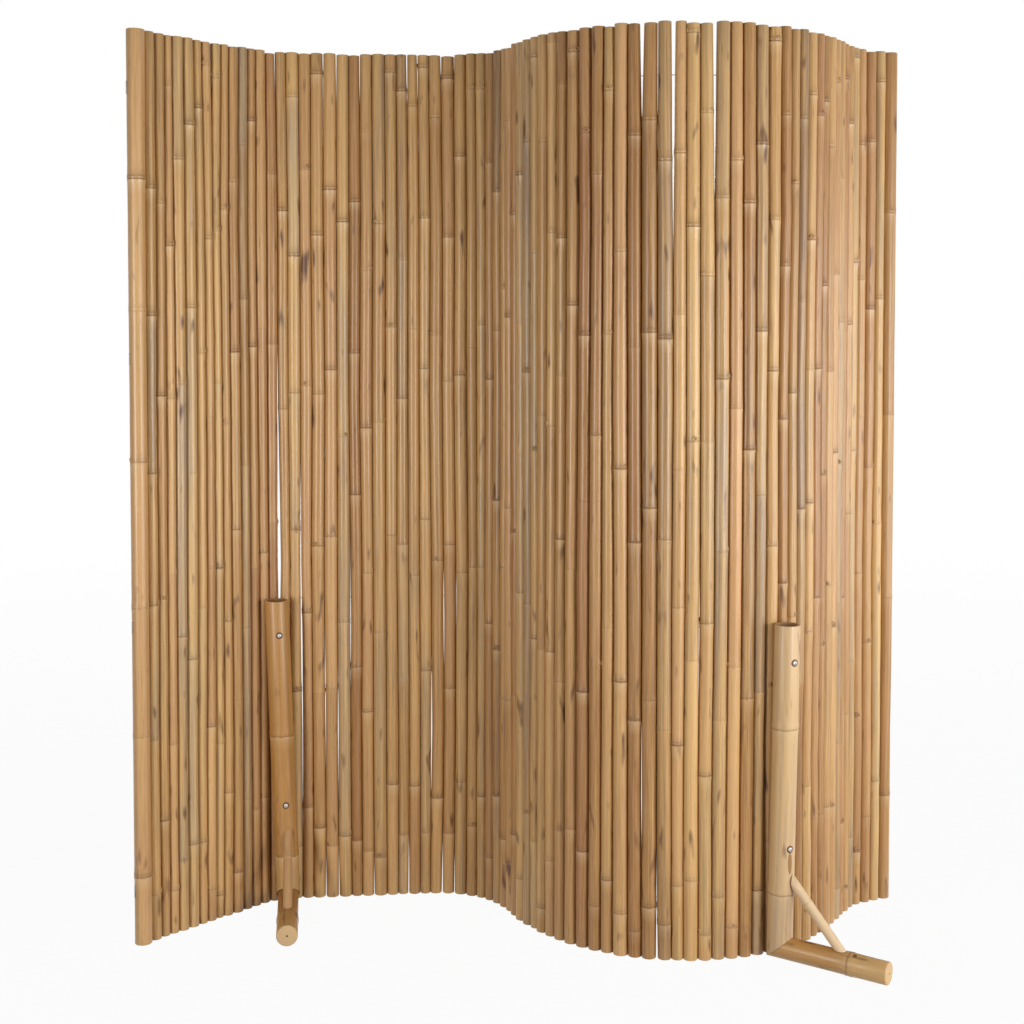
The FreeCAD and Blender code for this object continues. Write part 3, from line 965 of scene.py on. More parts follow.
class WireForm(FormTree):
    """The tree that draws a round wire along a route, with its corners bent and not sharp."""

    BEND_POINTS = 4

    def __init__(self) -> None:
        """Build the tree."""
        super().__init__("drawn_wire", Radius="Float", Bend="Float", Sides="Int")

    def shape(self, given: NodeOutputs) -> Node:
        """Draw the wire along its route.

        Args:
            given: The tree's inputs.

        Returns:
            The node with the wire.
        """
        tree = self.tree
        route = add_node(tree, "GeometryNodeMeshToCurve", {"Mesh": given["Base"]})
        corner = {"Curve": route, "Radius": given["Bend"], "Limit Radius": True, "Count": self.BEND_POINTS}
        bent = add_node(tree, "GeometryNodeFilletCurve", corner, mode="POLY")
        size = {"Resolution": given["Sides"], "Radius": given["Radius"]}
        ring = add_node(tree, "GeometryNodeCurvePrimitiveCircle", size, mode="RADIUS")
        return add_node(
            tree, "GeometryNodeCurveToMesh", {"Curve": bent, "Profile Curve": ring, "Fill Caps": True}
        )


@dataclass
class CanePanel:
    """The upright canes: round, tapering, a little crooked, each with its nodes, hollow ends and colour."""

    form: CulmForm
    segments: int = 24
    height: float = 1.8
    levels: int = 31
    wobble_mm: Pair = (0.12, 0.6)
    # How far groups of canes lean along the row, of how many canes, at how many heights, and how girths vary.
    lean_mm: float = 2.4
    lean_canes: int = 3
    lean_heights: int = 6
    girth_mm: float = 0.45
    # Neighbours press into each other by up to this much, so that no light shows between them.
    press_mm: float = 0.4
    # How readily a cane grows to fill the row, and an end cane shifts, against the shift of the others.
    growth_ease: float = 0.4
    end_ease: float = 0.02
    wall_mm: float = 4.0
    wall_spread: Pair = (0.8, 1.15)
    bore_mm: Pair = (25, 120)
    bulge: float = 1.9
    first_node_mm: Pair = (40, 260)
    node_spacing_mm: Pair = (270, 520)
    spacing_spread: Pair = (0.88, 1.12)
    last_node_mm: float = 15.0
    mark_range: Pair = (0.2, 1.0)
    mark_power: float = 1.4
    # Most canes are of a middle tone: the least, how much is added, and the shape of the draw.
    tone_range: Pair = (0.05, 0.8)
    tone_shape: Pair = (1.7, 1.5)
    tint_range: Pair = (0.2, 0.8)
    turn_spread: Pair = (0.14, 0.12)
    box_margin_mm: float = 0.1
    # See-through slits: the seam from the left end, lowest and highest point in metres, width in millimetres.
    slits: tuple[tuple[int, float, float, float], ...] = (
        (7, 1.64, 1.8, 4.0), (14, 1.64, 1.8, 2.2), (18, 1.67, 1.8, 1.8), (19, 1.69, 1.8, 2.0),
        (21, 1.67, 1.8, 1.8), (25, 1.67, 1.8, 2.2), (26, 1.69, 1.8, 1.8), (28, 1.71, 1.8, 1.8),
        (29, 1.71, 1.8, 1.4), (45, 1.6, 1.8, 2.6), (49, 1.6, 1.8, 8.0), (50, 1.4, 1.8, 1.2),
        (51, 1.36, 1.8, 7.5), (54, 1.42, 1.8, 8.0), (14, 0.5, 0.95, 5.5), (14, 0.6, 1.24, 4.0),
        (16, 0.15, 0.98, 2.8), (18, 0.26, 0.62, 1.8), (19, 0.2, 0.52, 1.6), (20, 0.42, 0.75, 1.8),
        (27, 0.16, 0.54, 2.4), (28, 0.48, 0.74, 1.8), (29, 0.5, 0.74, 1.6), (49, 0.18, 0.5, 1.8),
        (53, 0.48, 0.78, 1.8), (18, 0.0, 0.1, 1.6), (19, 0.0, 0.13, 1.6), (22, 0.0, 0.12, 1.2),
        (25, 0.0, 0.17, 2.0), (28, 0.0, 0.13, 2.2), (29, 0.0, 0.12, 2.0), (50, 0.0, 0.2, 3.0),
    )
    node_profile: Profile = (
        (-30.0, 0.0, 0.0, 0.0), (-10.0, 0.08, 0.0, 0.3), (-3.6, 0.4, 0.05, 0.5), (-1.6, 0.6, 0.3, 0.25),
        (-0.8, 0.34, 0.75, 0.0), (0.4, 0.26, 0.8, 0.0), (1.2, 0.45, 0.4, 0.0), (3.6, 0.62, 0.3, 0.0),
        (5.4, 0.45, 0.5, 0.0), (9.0, 0.2, 0.2, 0.0), (22.0, 0.0, 0.0, 0.0),
    )
    canes: list[Culm] = field(default_factory=list)

    def read(self) -> None:
        """Read every cane's ends from its solid, in order along the panel."""
        last = None
        for name in sorted(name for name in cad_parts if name.startswith("cane_pair_")):
            pair = [self._cane(corners) for corners in solids_of(name)]
            if last is None:
                pair.sort(key=lambda cane: cane.foot.x)
            else:
                pair.sort(key=lambda cane: (cane.foot - last).length)
            last = pair[-1].foot
            self.canes += pair
        for number, cane in enumerate(self.canes):
            cane.number = number

    @staticmethod
    def _cane(corners: np.ndarray) -> Culm:
        """Find the ends of a cane.

        Args:
            corners: The corners of its solid.

        Returns:
            The plain cane.
        """
        ends = []
        for level in (corners[:, 2].min(), corners[:, 2].max()):
            ring = corners[np.abs(corners[:, 2] - level) < SAME_LEVEL]
            centre = ring.mean(axis=0)
            ends.append((Vector(centre), float(np.linalg.norm(ring - centre, axis=1).mean())))
        (foot, foot_radius), (top, top_radius) = ends
        return Culm(0, foot, top, foot_radius, top_radius)

    def grow(self) -> None:
        """Let the canes fill their row, then give each its nodes, hollow ends and colour."""
        growth = random.Random(GROWTH_SEED)
        habit = self._habit()
        for level in range(self.levels):
            self._fill(level / (self.levels - 1), habit[level], growth)
        for cane in self.canes:
            cane.row = self._row(cane.number)
            cane.bulge = self.bulge
            along = growth.uniform(*self.first_node_mm) * MM
            pace = growth.uniform(*self.node_spacing_mm) * MM
            while along < cane.length() - self.last_node_mm * MM:
                cane.nodes.append(along)
                cane.marks.append(growth.uniform(*self.mark_range) ** self.mark_power)
                along += pace * growth.uniform(*self.spacing_spread)
            cane.wall = self.wall_mm * MM * growth.uniform(*self.wall_spread)
            cane.foot_bore = growth.uniform(*self.bore_mm) * MM
            cane.top_bore = growth.uniform(*self.bore_mm) * MM
            least, more = self.tone_range
            cane.tone = least + more * growth.betavariate(*self.tone_shape)
            cane.tint = growth.uniform(*self.tint_range)
            for _ in range(len(cane.nodes) + 1):
                tone, tint = (growth.uniform(-spread, spread) for spread in self.turn_spread)
                cane.turns.append((tone, tint))
            self._keep_inside(cane)

    def _habit(self) -> np.ndarray:
        """Draw how the canes vary by themselves, smoothly along their height.

        Returns:
            For each level, every cane's growth and then every cane's shift along the row, in metres.
        """
        draw = np.random.RandomState(GROWTH_SEED)
        count = len(self.canes)
        heights = np.linspace(0, 1, self.levels)
        knots = np.linspace(0, 1, self.lean_heights)
        groups = np.arange(0, count + self.lean_canes, self.lean_canes)
        leans = draw.normal(0, self.lean_mm * MM, (self.lean_heights, len(groups)))
        girths = draw.normal(0, self.girth_mm * MM, (self.lean_heights, count))
        rows = np.array([np.interp(range(count), groups, lean) for lean in leans])
        rows[:, [0, -1]] = 0.0
        both = np.concatenate([girths, rows], axis=1)
        return np.array([np.interp(heights, knots, column) for column in both.T]).T

    def _row(self, number: int) -> Vector:
        """Find which way the row runs at a cane.

        Args:
            number: The cane's number from the left end.

        Returns:
            The level direction, to the right.
        """
        left = self.canes[max(number - 1, 0)].foot
        right = self.canes[min(number + 1, len(self.canes) - 1)].foot
        return (right - left).normalized()

    def _gap(self, seam: int, height: float) -> float:
        """Find how wide a seam's slits are: widest in the middle, or at the end of the canes that they reach.

        Args:
            seam: The seam's number from the left end.
            height: The height.

        Returns:
            The width.
        """
        width = 0.0
        for where, low, high, most in self.slits:
            if where != seam or not low <= height <= high:
                continue
            peak = low if low == 0 else high if high == self.height else (low + high) / 2
            far = low if height < peak or peak == high else high
            width += most * MM * (1 - abs(height - peak) / abs(far - peak))
        return width

    def _fill(self, share: float, habit: np.ndarray, growth: random.Random) -> None:
        """Let the canes grow and shift, at one height, by the least past their habit that closes every seam.

        Args:
            share: The height, as a share of the canes' own.
            habit: How the canes would grow and shift by themselves.
            growth: Draws what differs from cane to cane.
        """
        count = len(self.canes)
        spots = [cane.foot.lerp(cane.top, share) for cane in self.canes]
        radii = [cane.radius_at(share * cane.length()) for cane in self.canes]
        need = np.zeros(count - 1)
        ties = np.zeros((count - 1, 2 * count))
        for seam in range(count - 1):
            gap = self._gap(seam, self.height * share) - growth.uniform(0, self.press_mm) * MM
            need[seam] = (spots[seam + 1] - spots[seam]).length - radii[seam] - radii[seam + 1] - gap
            ties[seam, [seam, seam + 1]] = 1.0
            ties[seam, [count + seam, count + seam + 1]] = 1.0, -1.0
        # The least change past the habit, weighed by each one's ease, that meets the need of every seam.
        ease = np.concatenate([np.full(count, self.growth_ease), np.full(count, 1.0)])
        ease[[count, 2 * count - 1]] = self.end_ease
        change = habit + (ties * ease).T @ np.linalg.solve((ties * ease) @ ties.T, need - ties @ habit)
        for number, cane in enumerate(self.canes):
            row = self._row(number)
            along, across = (growth.uniform(-1, 1) * size * MM for size in self.wobble_mm)
            shift = row * (float(change[count + number]) + along) + UP.cross(row) * across
            cane.growth.append((share * cane.length(), float(change[number])))
            cane.bends.append((share * cane.length(), shift))
        least, most = change[:count].min() / MM, change[:count].max() / MM
        furthest = np.abs(change[count:]).max() / MM
        LOG.info("row at %.2f: canes grow %.2f to %.2f mm, shift up to %.2f mm", share, least, most, furthest)

    def _keep_inside(self, cane: Culm) -> None:
        """Push a cane on the outside of the row in, until its nodes keep to the part's own box.

        Args:
            cane: The cane, whose bends change.
        """
        swell = (max(swell for _, swell, *_ in self.node_profile) * self.bulge + self.box_margin_mm) * MM
        for along, bend in cane.bends:
            spot = cane.centre_at(along)
            room = cane.radius_at(along) + swell
            for axis in (0, 1):
                bend[axis] += max(CAD_BOX[0][axis] + room - spot[axis], 0.0)
                bend[axis] -= max(spot[axis] + room - CAD_BOX[1][axis], 0.0)

    def build(self) -> None:
        """Build the canes, two to a piece as their solids are."""
        skin = CANE_SKIN.material()
        for place in range(0, len(self.canes), 2):
            node = f"cane_pair_{place // 2 + 1:02d}"
            pair = self.canes[place:place + 2]
            piece = self.form.grow(f"{node}_skin", pair, self.node_profile, self.segments, skin)
            declare(piece, "cane", node)


@dataclass(frozen=True)
class Mark:
    """A mark on a foot, a blemish or painted shade round a screw: its place, the way it faces, half width,
    half length, height and darkness.
    """

    spot: Vector
    axis: Vector
    size_mm: Triple
    dark: float


@dataclass(frozen=True)
class FootHues:
    """Tone and tint of a foot's pieces, and how far the internode at the corner departs from the rest."""

    upright: Pair
    upright_corner: Pair
    bar: Pair
    brace: Pair
    bar_corner: Pair = (-0.25, 0.25)


@dataclass
class Foot:
    """One L-shaped foot: a stout culm upright, a bar mitred to it and a peeled brace across the corner."""

    side: Side
    hues: FootHues
    form: CulmForm
    knotted: bool = False
    segments: int = 48
    ring_corners: int = 20
    ring_step_mm: float = 0.05
    # A ring that stands out from its culm by this much is a node.
    node_rise_mm: float = 1.0
    # How far past a corner a culm is grown, before it is sawn off there.
    spare: float = 0.04
    slim_mm: float = 0.15
    joint_mm: float = 0.15
    swell: float = 2.1
    upright_wall_mm: float = 5.0
    diaphragm_mm: float = 3.0
    bar_pith_mm: Pair = (1.8, 6.0)
    bar_ease_mm: float = 3.0
    brace_radius_mm: float = 9.4
    brace_node: float = 0.62
    brace_swell: float = 0.6
    knot_mm: Triple = (6.0, 4.5, 1.2)
    knot_past_mm: float = 11.0
    knot_turn: float = 0.35
    knot_dark: float = 0.8
    node_profile: Profile = (
        (-14.0, 0.0, 0.0, 0.0), (-5.0, 0.1, 0.0, 0.15), (-2.4, 0.34, 0.0, 0.3), (-1.1, 0.56, 0.05, 0.2),
        (-0.6, 0.3, 0.45, 0.0), (0.1, 0.2, 0.6, 0.0), (0.7, 0.42, 0.1, 0.0), (2.2, 0.62, 0.0, 0.0),
        (5.0, 0.22, 0.0, 0.0), (12.0, 0.0, 0.0, 0.0),
    )
    # The left culms' numbers, which set their patterns; the right ones' are one more.
    upright_number: int = 201
    bar_number: int = 205
    brace_number: int = 209
    # Where the upright's axis meets the floor and which way the bar goes, read from the solids.
    middle: Vector = field(init=False)
    heading: Vector = field(init=False)

    def build(self) -> list[Mark]:
        """Read the foot's solids, then build its three pieces.

        Returns:
            The knots on its bar.
        """
        upright, bar, brace = (
            solids_of(f"{self.side.value}_{part}")[0] for part in ("upright", "foot_bar", "brace")
        )
        rings = self._level_rings(upright)
        (low, low_centre, _), (high, top, radius) = rings[0], rings[-1]
        slope = (top - low_centre) / (high - low)
        base = low_centre - slope * low
        heading = Vector(bar.mean(axis=0)) - base
        heading.z = 0
        self.heading = heading.normalized()
        self.middle = Vector((base.x, base.y, 0))
        reach = self._reach(bar)
        end = bar[reach > reach.max() - SAME_LEVEL]
        tip = Vector(end.mean(axis=0))
        bar_radius = float(np.linalg.norm(end - end.mean(axis=0), axis=1).mean())
        corner, above = self._mitre(radius, tip.z, bar_radius)
        gap = above * self.joint_mm * MM
        self._upright(base, slope, rings, (corner + gap, above))
        node = self._bar(bar, tip, bar_radius, (corner - gap, -above))
        self._brace(brace)
        if not self.knotted:
            return []
        facing = (UP + self.heading.cross(UP) * self.knot_turn).normalized()
        along = self.heading * (node + self.knot_past_mm * MM)
        spot = self.middle + UP * tip.z + along + facing * bar_radius
        return [Mark(spot, facing, self.knot_mm, self.knot_dark)]

    def _reach(self, corners: np.ndarray) -> np.ndarray:
        """Return how far corners lie from the upright's axis along the bar."""
        return np.array([(Vector(corner) - self.middle).dot(self.heading) for corner in corners])

    def _level_rings(self, corners: np.ndarray) -> list[tuple[float, Vector, float]]:
        """Find the level rings of an upright.

        Args:
            corners: The corners of its solid.

        Returns:
            Each ring's height, centre and outer radius, from the lowest up.
        """
        levels = np.round(corners[:, 2] / (self.ring_step_mm * MM)).astype(int)
        rings = []
        for level in np.unique(levels):
            ring = corners[levels == level]
            if len(ring) >= self.ring_corners:
                centre = ring.mean(axis=0)
                radius = float(np.linalg.norm(ring - centre, axis=1).max())
                rings.append((float(ring[:, 2].mean()), Vector(centre), radius))
        return rings

    def _mitre(self, radius: float, level: float, bar_radius: float) -> tuple[Vector, Vector]:
        """Lay the mitre's plane from the outer bottom corner to the inner top one.

        Args:
            radius: The upright's radius.
            level: The height of the bar's axis.
            bar_radius: The bar's radius.

        Returns:
            A point of the plane and its upward normal.
        """
        flat = bar_radius * math.cos(math.pi / self.ring_corners)
        outer = self.middle - self.heading * radius + UP * (level - flat)
        inner = self.middle + self.heading * radius + UP * (level + flat)
        slope = (inner - outer).normalized()
        return outer, slope.cross(self.heading.cross(UP)).normalized() * -1

    def _finish(
        self,
        part: str,
        slot: str,
        culm: Culm,
        skin: BambooSkin,
        segments: int,
        cuts: list[tuple[Vector, Vector]],
        shows: SawnFace,
    ) -> None:
        """Args:
            part: The piece's name within the foot.
            slot: Its material slot.
            culm: Its form, grown past its sawn ends.
            skin: Its finish.
            segments: Faces round it.
            cuts: A point and the normal, towards what stays, of each sawn face.
            shows: What the sawn faces show.
        """
        node = f"{self.side.value}_{part}"
        piece = self.form.grow(f"{node}_skin", [culm], self.node_profile, segments, skin.material())
        for point, keep in cuts:
            trim(piece, point, keep, shows)
        declare(piece, slot, node)

    def _number(self, first: int) -> int:
        """Return a culm's number on this side, from the left one's."""
        return first + list(Side).index(self.side)

    def _upright(
        self,
        base: Vector,
        slope: Vector,
        rings: list[tuple[float, Vector, float]],
        cut: tuple[Vector, Vector],
    ) -> None:
        """Build the upright, open at its top and mitred at its base.

        Args:
            base: Where its axis meets the floor.
            slope: How its axis goes, for each metre up.
            rings: Its solid's level rings.
            cut: A point and the normal of the mitre.
        """
        height, top, radius = rings[-1]
        plain = radius - self.slim_mm * MM
        nodes = [ring[0] for ring in rings if ring[2] > radius + self.node_rise_mm * MM]
        number, foot = self._number(self.upright_number), base - slope * self.spare
        culm = Culm(number, foot, top, plain, plain, *self.hues.upright)
        culm.turns = [self.hues.upright_corner] + [(0.0, 0.0)] * len(nodes)
        culm.nodes = [node + self.spare for node in nodes]
        culm.wall = self.upright_wall_mm * MM
        culm.top_bore = height - nodes[-1] - self.diaphragm_mm * MM
        culm.swell = self.swell
        self._finish("upright", "foot_culm", culm, FOOT_SKIN, self.segments, [cut], SawnFace.JOINT)

    def _bar(self, corners: np.ndarray, tip: Vector, radius: float, cut: tuple[Vector, Vector]) -> float:
        """Build the bar along the floor, mitred to the upright, with a pith hole in its end.

        Args:
            corners: The corners of its solid.
            tip: The middle of its end.
            radius: Its radius there.
            cut: A point and the normal of the mitre.

        Returns:
            How far its node is from the upright's axis.
        """
        axis = self.middle + UP * tip.z
        away = np.linalg.norm(np.cross(corners - np.array(axis), np.array(self.heading)), axis=1)
        node = float(self._reach(corners)[away > radius + self.node_rise_mm * MM].mean())
        plain = radius - self.slim_mm * MM
        past = 2 * self.spare
        number, foot = self._number(self.bar_number), axis - self.heading * past
        culm = Culm(number, foot, tip, plain, plain, *self.hues.bar)
        culm.turns = [self.hues.bar_corner, (0.0, 0.0)]
        culm.nodes = [node + past]
        pith, deep = (size * MM for size in self.bar_pith_mm)
        culm.wall, culm.top_bore = plain - pith, deep
        culm.ease = self.bar_ease_mm * MM
        culm.swell = self.swell
        self._finish("foot_bar", "foot_culm", culm, FOOT_SKIN, self.segments, [cut], SawnFace.JOINT)
        return node

    def _brace(self, corners: np.ndarray) -> None:
        """Build the peeled brace, cut plumb against the upright and level on the bar.

        Args:
            corners: The corners of its solid.
        """
        reach = self._reach(corners)
        low = Vector(corners[corners[:, 2] < corners[:, 2].min() + SAME_LEVEL].mean(axis=0))
        high = Vector(corners[reach < reach.min() + SAME_LEVEL].mean(axis=0))
        past = (high - low).normalized() * self.spare
        radius = self.brace_radius_mm * MM
        number = self._number(self.brace_number)
        culm = Culm(number, low - past, high + past, radius, radius, *self.hues.brace)
        culm.nodes = [culm.length() * self.brace_node]
        culm.swell = self.brace_swell
        cuts = [(high, self.heading), (low, UP)]
        self._finish("brace", "peeled_cane", culm, PEELED_SKIN, self.segments // 2, cuts, SawnFace.FRESH)


@dataclass
class FootScrews:
    """The zinc-plated pan-head screws that hold the uprights to their canes."""

    form: PointForm
    segments: int = 24
    recess_mm: Triple = (5.4, 1.1, 1.3)
    # From the shank's tip up to the crown; the crown's height is zero.
    outline_mm: Outline = (
        (0.0, -52.0), (1.9, -47.0), (1.9, -2.4), (4.4, -2.4), (4.45, -1.6), (4.1, -0.8), (3.2, -0.25),
        (1.8, -0.02), (0.0, 0.0),
    )
    head_mm: float = 2.3
    # Each recess has a turn of its own.
    spin: Pair = (0.4, 0.7)
    # A dark ring painted round each head as the shade of its hole: half width, half length, height, and
    # darkness.
    shade_ring_mm: Triple = (6.8, 7.4, 0.9)
    shade_ring_dark: float = 0.9
    strip_mm: Triple = (4.2, 21.0, 0.9)
    strip_dark: float = 0.4
    strip_below_mm: float = 27.0

    def build(self) -> list[Mark]:
        """Set one screw on each packed one.

        Returns:
            A ring of painted shade round each head, where its hole lies, and the strip shaved off below the
            right foot's lower screw.
        """
        spots, axes = [], []
        for corners in solids_of("foot_screws"):
            middle = corners.mean(axis=0)
            axis = np.linalg.svd(corners - middle)[2][0]
            way = (corners - middle) @ axis
            wide = np.linalg.norm((corners - middle) - np.outer(way, axis), axis=1)
            if way[np.argmax(wide)] < 0:
                axis, way = -axis, -way
            spots.append(Vector(middle + axis * way.max()))
            axes.append(Vector(axis))
        first, step = self.spin
        piece = self.form.place(
            "foot_screw_heads",
            self._screw(),
            spots,
            SCREW_ZINC.material(),
            spin=[first + step * place for place in range(len(spots))],
            axis=axes,
            scale=[Vector((1, 1, 1))] * len(spots),
        )
        declare(piece, "screw", "foot_screws")
        seats = [(spot - axis * self.head_mm * MM, axis) for spot, axis in zip(spots, axes)]
        # Each head gets a ring of painted shade round it.
        marks = [Mark(spot, axis, self.shade_ring_mm, self.shade_ring_dark) for spot, axis in seats]
        spot, axis = min((seat for seat in seats if seat[0].x > 0), key=lambda seat: seat[0].z)
        marks.append(Mark(spot - UP * self.strip_below_mm * MM, axis, self.strip_mm, self.strip_dark))
        return marks

    def _screw(self) -> Mesh:
        """Turn one screw and cut a cross recess in its head.

        Returns:
            The screw, with its crown at the origin.
        """
        screw = add_object("screw", lathe("screw", self.outline_mm, self.segments))
        long, wide, deep = (size * MM for size in self.recess_mm)
        tools = []
        for name, size in (("slot_a", (long, wide, 2 * deep)), ("slot_b", (wide, long, 2 * deep))):
            form = bmesh.new()
            bmesh.ops.create_cube(form, size=1.0, matrix=Matrix.Diagonal((*size, 1.0)))
            mesh = bpy.data.meshes.new(name)
            form.to_mesh(mesh)
            form.free()
            tools.append(add_object(name, mesh))
            recess = screw.modifiers.new(name, "BOOLEAN")
            recess.operation = "DIFFERENCE"
            recess.object = tools[-1]
        mesh = plain_mesh(screw)
        for spare in (screw, *tools):
            bpy.data.objects.remove(spare)
        return mesh


@dataclass
class FootMarks:
    """The feet's marks, as low brown domes: rings of painted shade round the screws, a shaved strip and a
    knotted bump on a bar.
    """

    form: PointForm
    marks: list[Mark]
    segments: int = 20
    tone: float = 0.5
    tint: float = 0.8
    # A mark one millimetre in radius and in height.
    outline_mm: Outline = ((1.0, -1.2), (1.0, 0.0), (0.8, 0.3), (0.4, 0.4), (0.0, 0.42))

    def build(self) -> None:
        """Set the marks on the feet."""
        piece = self.form.place(
            "foot_marks",
            lathe("foot_mark", self.outline_mm, self.segments),
            [mark.spot for mark in self.marks],
            FOOT_SKIN.material(),
            spin=[math.atan2(mark.axis.x, -mark.axis.y) for mark in self.marks],
            knot=[mark.dark for mark in self.marks],
            tone=[self.tone] * len(self.marks),
            tint=[self.tint] * len(self.marks),
            axis=[mark.axis for mark in self.marks],
            scale=[Vector(mark.size_mm) for mark in self.marks],
        )
        declare(piece, "foot_culm")


@dataclass
class ThreadingWires:
    """The galvanised wires that run through every cane and are folded down over the end canes."""

    canes: list[Culm]
    radius_mm: float = 0.9
    bend_mm: float = 2.2
    sides: int = 8

    def build(self) -> None:
        """Build one wire for each row."""
        form = WireForm()
        finish = WIRE_ZINC.material()
        sizes = {"Radius": self.radius_mm * MM, "Bend": self.bend_mm * MM, "Sides": self.sides}
        for row in WireRow:
            node = f"wire_{row.value}"
            piece = form.run(f"{node}_drawn", self._route(node), Finish=finish, **sizes)
            declare(piece, "wire", node)

    def _route(self, node: str) -> Mesh:
        """Lay a wire's route: up the left tail, through every cane's middle and down the right tail.

        Args:
            node: The wire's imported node.

        Returns:
            The route, as a string of edges.
        """
        corners = solids_of(node)[0]
        top, bottom = float(corners[:, 2].max()), float(corners[:, 2].min())
        level = top - self.radius_mm * MM
        tails = corners[corners[:, 2] < bottom + SAME_LEVEL]
        left = tails[tails[:, 0] < 0].mean(axis=0)
        right = tails[tails[:, 0] > 0].mean(axis=0)
        points = [(left[0], left[1], bottom), (left[0], left[1], level)]
        for cane in self.canes:
            middle = cane.centre_at(level)
            points.append((middle.x, middle.y, level))
        points += [(right[0], right[1], level), (right[0], right[1], bottom)]
        mesh = bpy.data.meshes.new(f"{node}_route")
        mesh.from_pydata(points, [(at, at + 1) for at in range(len(points) - 1)], [])
        return mesh


@dataclass
class BranchScars:
    """The stubs on some nodes where a branch was trimmed off: a low dome with a dark ring."""

    form: PointForm
    canes: list[Culm]
    share: float = 0.8
    size_mm: Pair = (3.2, 5.8)
    # How much longer than wide a scar is, how far out it sits, its height, and its way from node and top.
    drawn_out: float = 1.25
    proud_mm: float = 0.4
    height: float = 0.3
    above_mm: float = 5.0
    below_top_mm: float = 10.0
    # The least dark of a scar, and where from its middle it is reached.
    least_dark: float = 0.25
    dark_mm: float = 0.75
    segments: int = 14
    # A scar one millimetre in radius.
    outline_mm: Outline = ((1.0, -0.5), (0.95, 0.0), (0.75, 0.22), (0.5, 0.26), (0.34, 0.1), (0.0, 0.06))

    def build(self) -> None:
        """Set the scars on their nodes."""
        growth = random.Random(GROWTH_SEED + 1)
        spots = []
        columns = {name: [] for name in ("spin", "tone", "tint", "culm", "axis", "scale")}
        for cane in self.canes:
            for node in cane.nodes:
                turn = growth.uniform(0, 2 * math.pi)
                size = growth.uniform(*self.size_mm)
                if growth.random() > self.share:
                    continue
                out = Vector((math.cos(turn), math.sin(turn), 0))
                along = min(node + self.above_mm * MM, cane.length() - self.below_top_mm * MM)
                spot = cane.centre_at(along) + out * (cane.radius_at(along) + self.proud_mm * MM)
                if not self._inside(spot + out * size * self.height * MM):
                    continue
                spots.append(spot)
                scale = Vector((size * self.drawn_out, size, size))
                row = (0.0, *cane.colour_at(along), float(cane.number), out, scale)
                for values, value in zip(columns.values(), row):
                    values.append(value)
        scar = self._scar()
        piece = self.form.place("branch_scars", scar, spots, CANE_SKIN.material(), **columns)
        declare(piece, "cane")

    def _scar(self) -> Mesh:
        """Turn one scar, darkest in its middle.

        Returns:
            The scar, with the values that its skin reads.
        """
        mesh = lathe("branch_scar", self.outline_mm, self.segments)
        ways = [corner.co.xy.length for corner in mesh.vertices]
        store(
            mesh,
            knot=[max(self.least_dark, 1.0 - way / (self.dark_mm * MM)) for way in ways],
            skin=[Vector((0.0, way, corner.co.z)) for way, corner in zip(ways, mesh.vertices)],
        )
        return mesh

    @staticmethod
    def _inside(spot: Vector) -> bool:
        """Tell whether a place lies within the part's own box."""
        return all(CAD_BOX[0][axis] < spot[axis] < CAD_BOX[1][axis] for axis in (0, 1))


@dataclass(frozen=True)
class Lamp:
    """A soft lamp that faces the panel: its turn to the camera's right, its place, its face and its power."""

    name: str
    turn_deg: float
    distance: float
    level: float
    width: float
    height: float
    watts: float

    def build(self) -> None:
        """Add the lamp."""
        light = bpy.data.lights.new(self.name, "AREA")
        light.shape = "RECTANGLE"
        light.size, light.size_y = self.width, self.height
        light.energy = self.watts
        lamp = add_object(self.name, light)
        turn = math.radians(self.turn_deg)
        out = Vector((math.sin(turn), -math.cos(turn), 0))
        facing = (-out).to_track_quat("-Z", "Y").to_matrix().to_4x4()
        lamp.matrix_world = Matrix.Translation(out * self.distance + UP * self.level) @ facing
        lamp.visible_camera = False


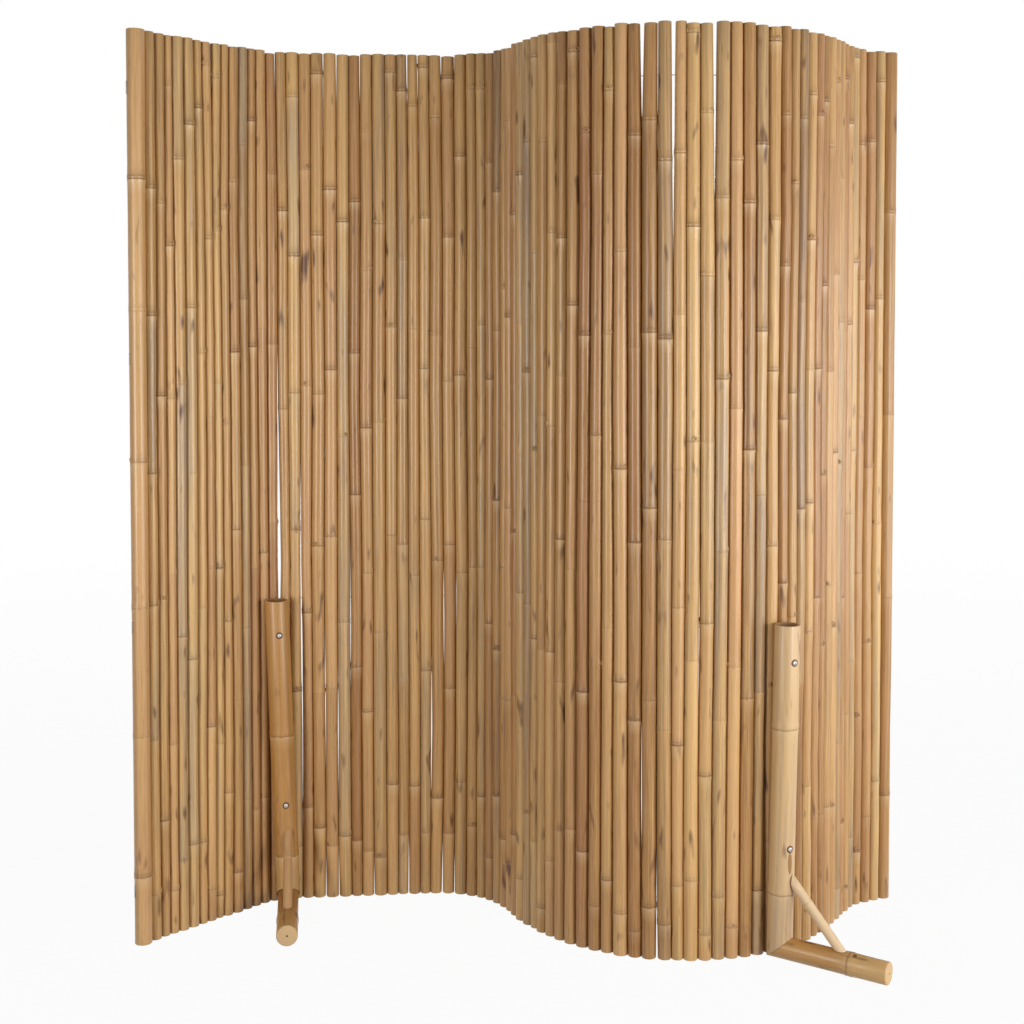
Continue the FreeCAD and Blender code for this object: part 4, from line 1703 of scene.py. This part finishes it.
@dataclass
class Studio:
    """A pale floor and backdrop, soft lamps in front, beside and behind, and the photograph's viewpoint."""

    lens_mm: float = 50.356
    shift_y: float = -0.12
    pitch_deg: float = 2.197
    camera: Triple = (-0.0303, -2.838, 1.209)
    lamps: tuple[Lamp, ...] = (
        Lamp("right_strip", 42.0, 2.6, 1.0, 0.4, 1.1, 30.5),
        Lamp("left_strip", -42.0, 2.6, 1.0, 0.4, 1.1, 31.5),
        Lamp("right_side", 68.0, 3.2, 0.85, 3.0, 1.5, 54.0),
        Lamp("back_soft", 180.0, 3.4, 1.2, 3.0, 2.0, 75.0),
    )
    ambient: float = 0.05
    paper: str = "#D8D8D8"
    floor_size: float = 60.0
    # How white the floor shows near the panel, and between which distances it fades to the backdrop's white.
    floor_white: float = 0.95
    floor_fade: Pair = (1.2, 6.0)

    def build(self) -> None:
        """Add the floor, the lamps, the world and the camera."""
        self._floor()
        for lamp in self.lamps:
            lamp.build()
        self._world()
        self._camera()
        bpy.context.scene.view_settings.view_transform = "Standard"

    def _floor(self) -> None:
        """Add the floor: white paper with a faint shadow, that meets the backdrop without a line."""
        half = self.floor_size / 2
        corners = [(-half, -half, 0), (half, -half, 0), (half, half, 0), (-half, half, 0)]
        mesh = bpy.data.meshes.new("floor")
        mesh.from_pydata(corners, [], [(0, 1, 2, 3)])
        floor = add_object("floor", mesh)
        material, tree = new_material("white_paper_floor")
        paper = add_node(tree, "ShaderNodeBsdfDiffuse", {"Color": linear(self.paper)})
        place = add_node(tree, "ShaderNodeTexCoord").outputs["Object"]
        away = add_node(tree, "ShaderNodeVectorMath", {0: place}, operation="LENGTH").outputs["Value"]
        near, far = self.floor_fade
        share = add_node(
            tree,
            "ShaderNodeMapRange",
            {"Value": away, "From Min": near, "From Max": far, "To Min": self.floor_white, "To Max": 1.0},
            interpolation_type="SMOOTHSTEP",
        )
        glow = add_node(tree, "ShaderNodeEmission", {"Color": linear(WHITE), "Strength": 1.0})
        shown = add_node(tree, "ShaderNodeMixShader", {0: share, 1: paper, 2: glow})
        both = add_node(tree, "ShaderNodeMixShader", {0: self._seen(tree), 1: paper, 2: shown})
        add_node(tree, "ShaderNodeOutputMaterial", {"Surface": both})
        mesh.materials.append(material)

    @staticmethod
    def _seen(tree: NodeTree) -> NodeSocket:
        """Find the rays that show the backdrop: from the camera, off a gloss or through glass.

        Args:
            tree: The material's or the world's tree.

        Returns:
            1 for such a ray, or else 0.
        """
        path = add_node(tree, "ShaderNodeLightPath")
        seen = path.outputs["Is Camera Ray"]
        for kind in ("Is Glossy Ray", "Is Transmission Ray"):
            either = {0: seen, 1: path.outputs[kind]}
            seen = add_node(tree, "ShaderNodeMath", either, operation="MAXIMUM").outputs[0]
        return seen

    def _world(self) -> None:
        """Light the scene evenly all round, and show the backdrop white."""
        world = bpy.data.worlds.new("white_backdrop")
        bpy.context.scene.world = world
        world.use_nodes = True
        tree = world.node_tree
        tree.nodes.clear()
        levels = {"Value": self._seen(tree), "To Min": self.ambient, "To Max": 1.0}
        strength = add_node(tree, "ShaderNodeMapRange", levels)
        back = add_node(tree, "ShaderNodeBackground", {"Color": linear(WHITE), "Strength": strength})
        add_node(tree, "ShaderNodeOutputWorld", {"Surface": back})

    def _camera(self) -> None:
        """Stand the camera where the photograph was taken."""
        data = bpy.data.cameras.new("camera")
        data.lens = self.lens_mm
        data.shift_y = self.shift_y
        eye = add_object("camera", data)
        eye.location = self.camera
        eye.rotation_euler = (math.radians(90 - self.pitch_deg), 0, 0)
        bpy.context.scene.camera = eye


def main() -> None:
    """Build the screen and its studio."""
    logging.basicConfig(level=logging.INFO, format="%(name)s %(message)s")
    Studio().build()
    form = CulmForm()
    panel = CanePanel(form)
    panel.read()
    panel.grow()
    panel.build()
    ThreadingWires(panel.canes).build()
    points = PointForm()
    marks = FootScrews(points).build()
    left = FootHues(upright=(0.4, 0.95), upright_corner=(0.2, -0.3), bar=(0.45, 0.6), brace=(0.35, 0.85))
    right = FootHues(upright=(0.9, 0.3), upright_corner=(-0.1, -0.15), bar=(0.75, 0.65), brace=(0.9, 0.3))
    marks += Foot(Side.LEFT, left, form).build()
    marks += Foot(Side.RIGHT, right, form, knotted=True).build()
    FootMarks(points, marks).build()
    BranchScars(points, panel.canes).build()


if __name__ == "__main__":
    main()
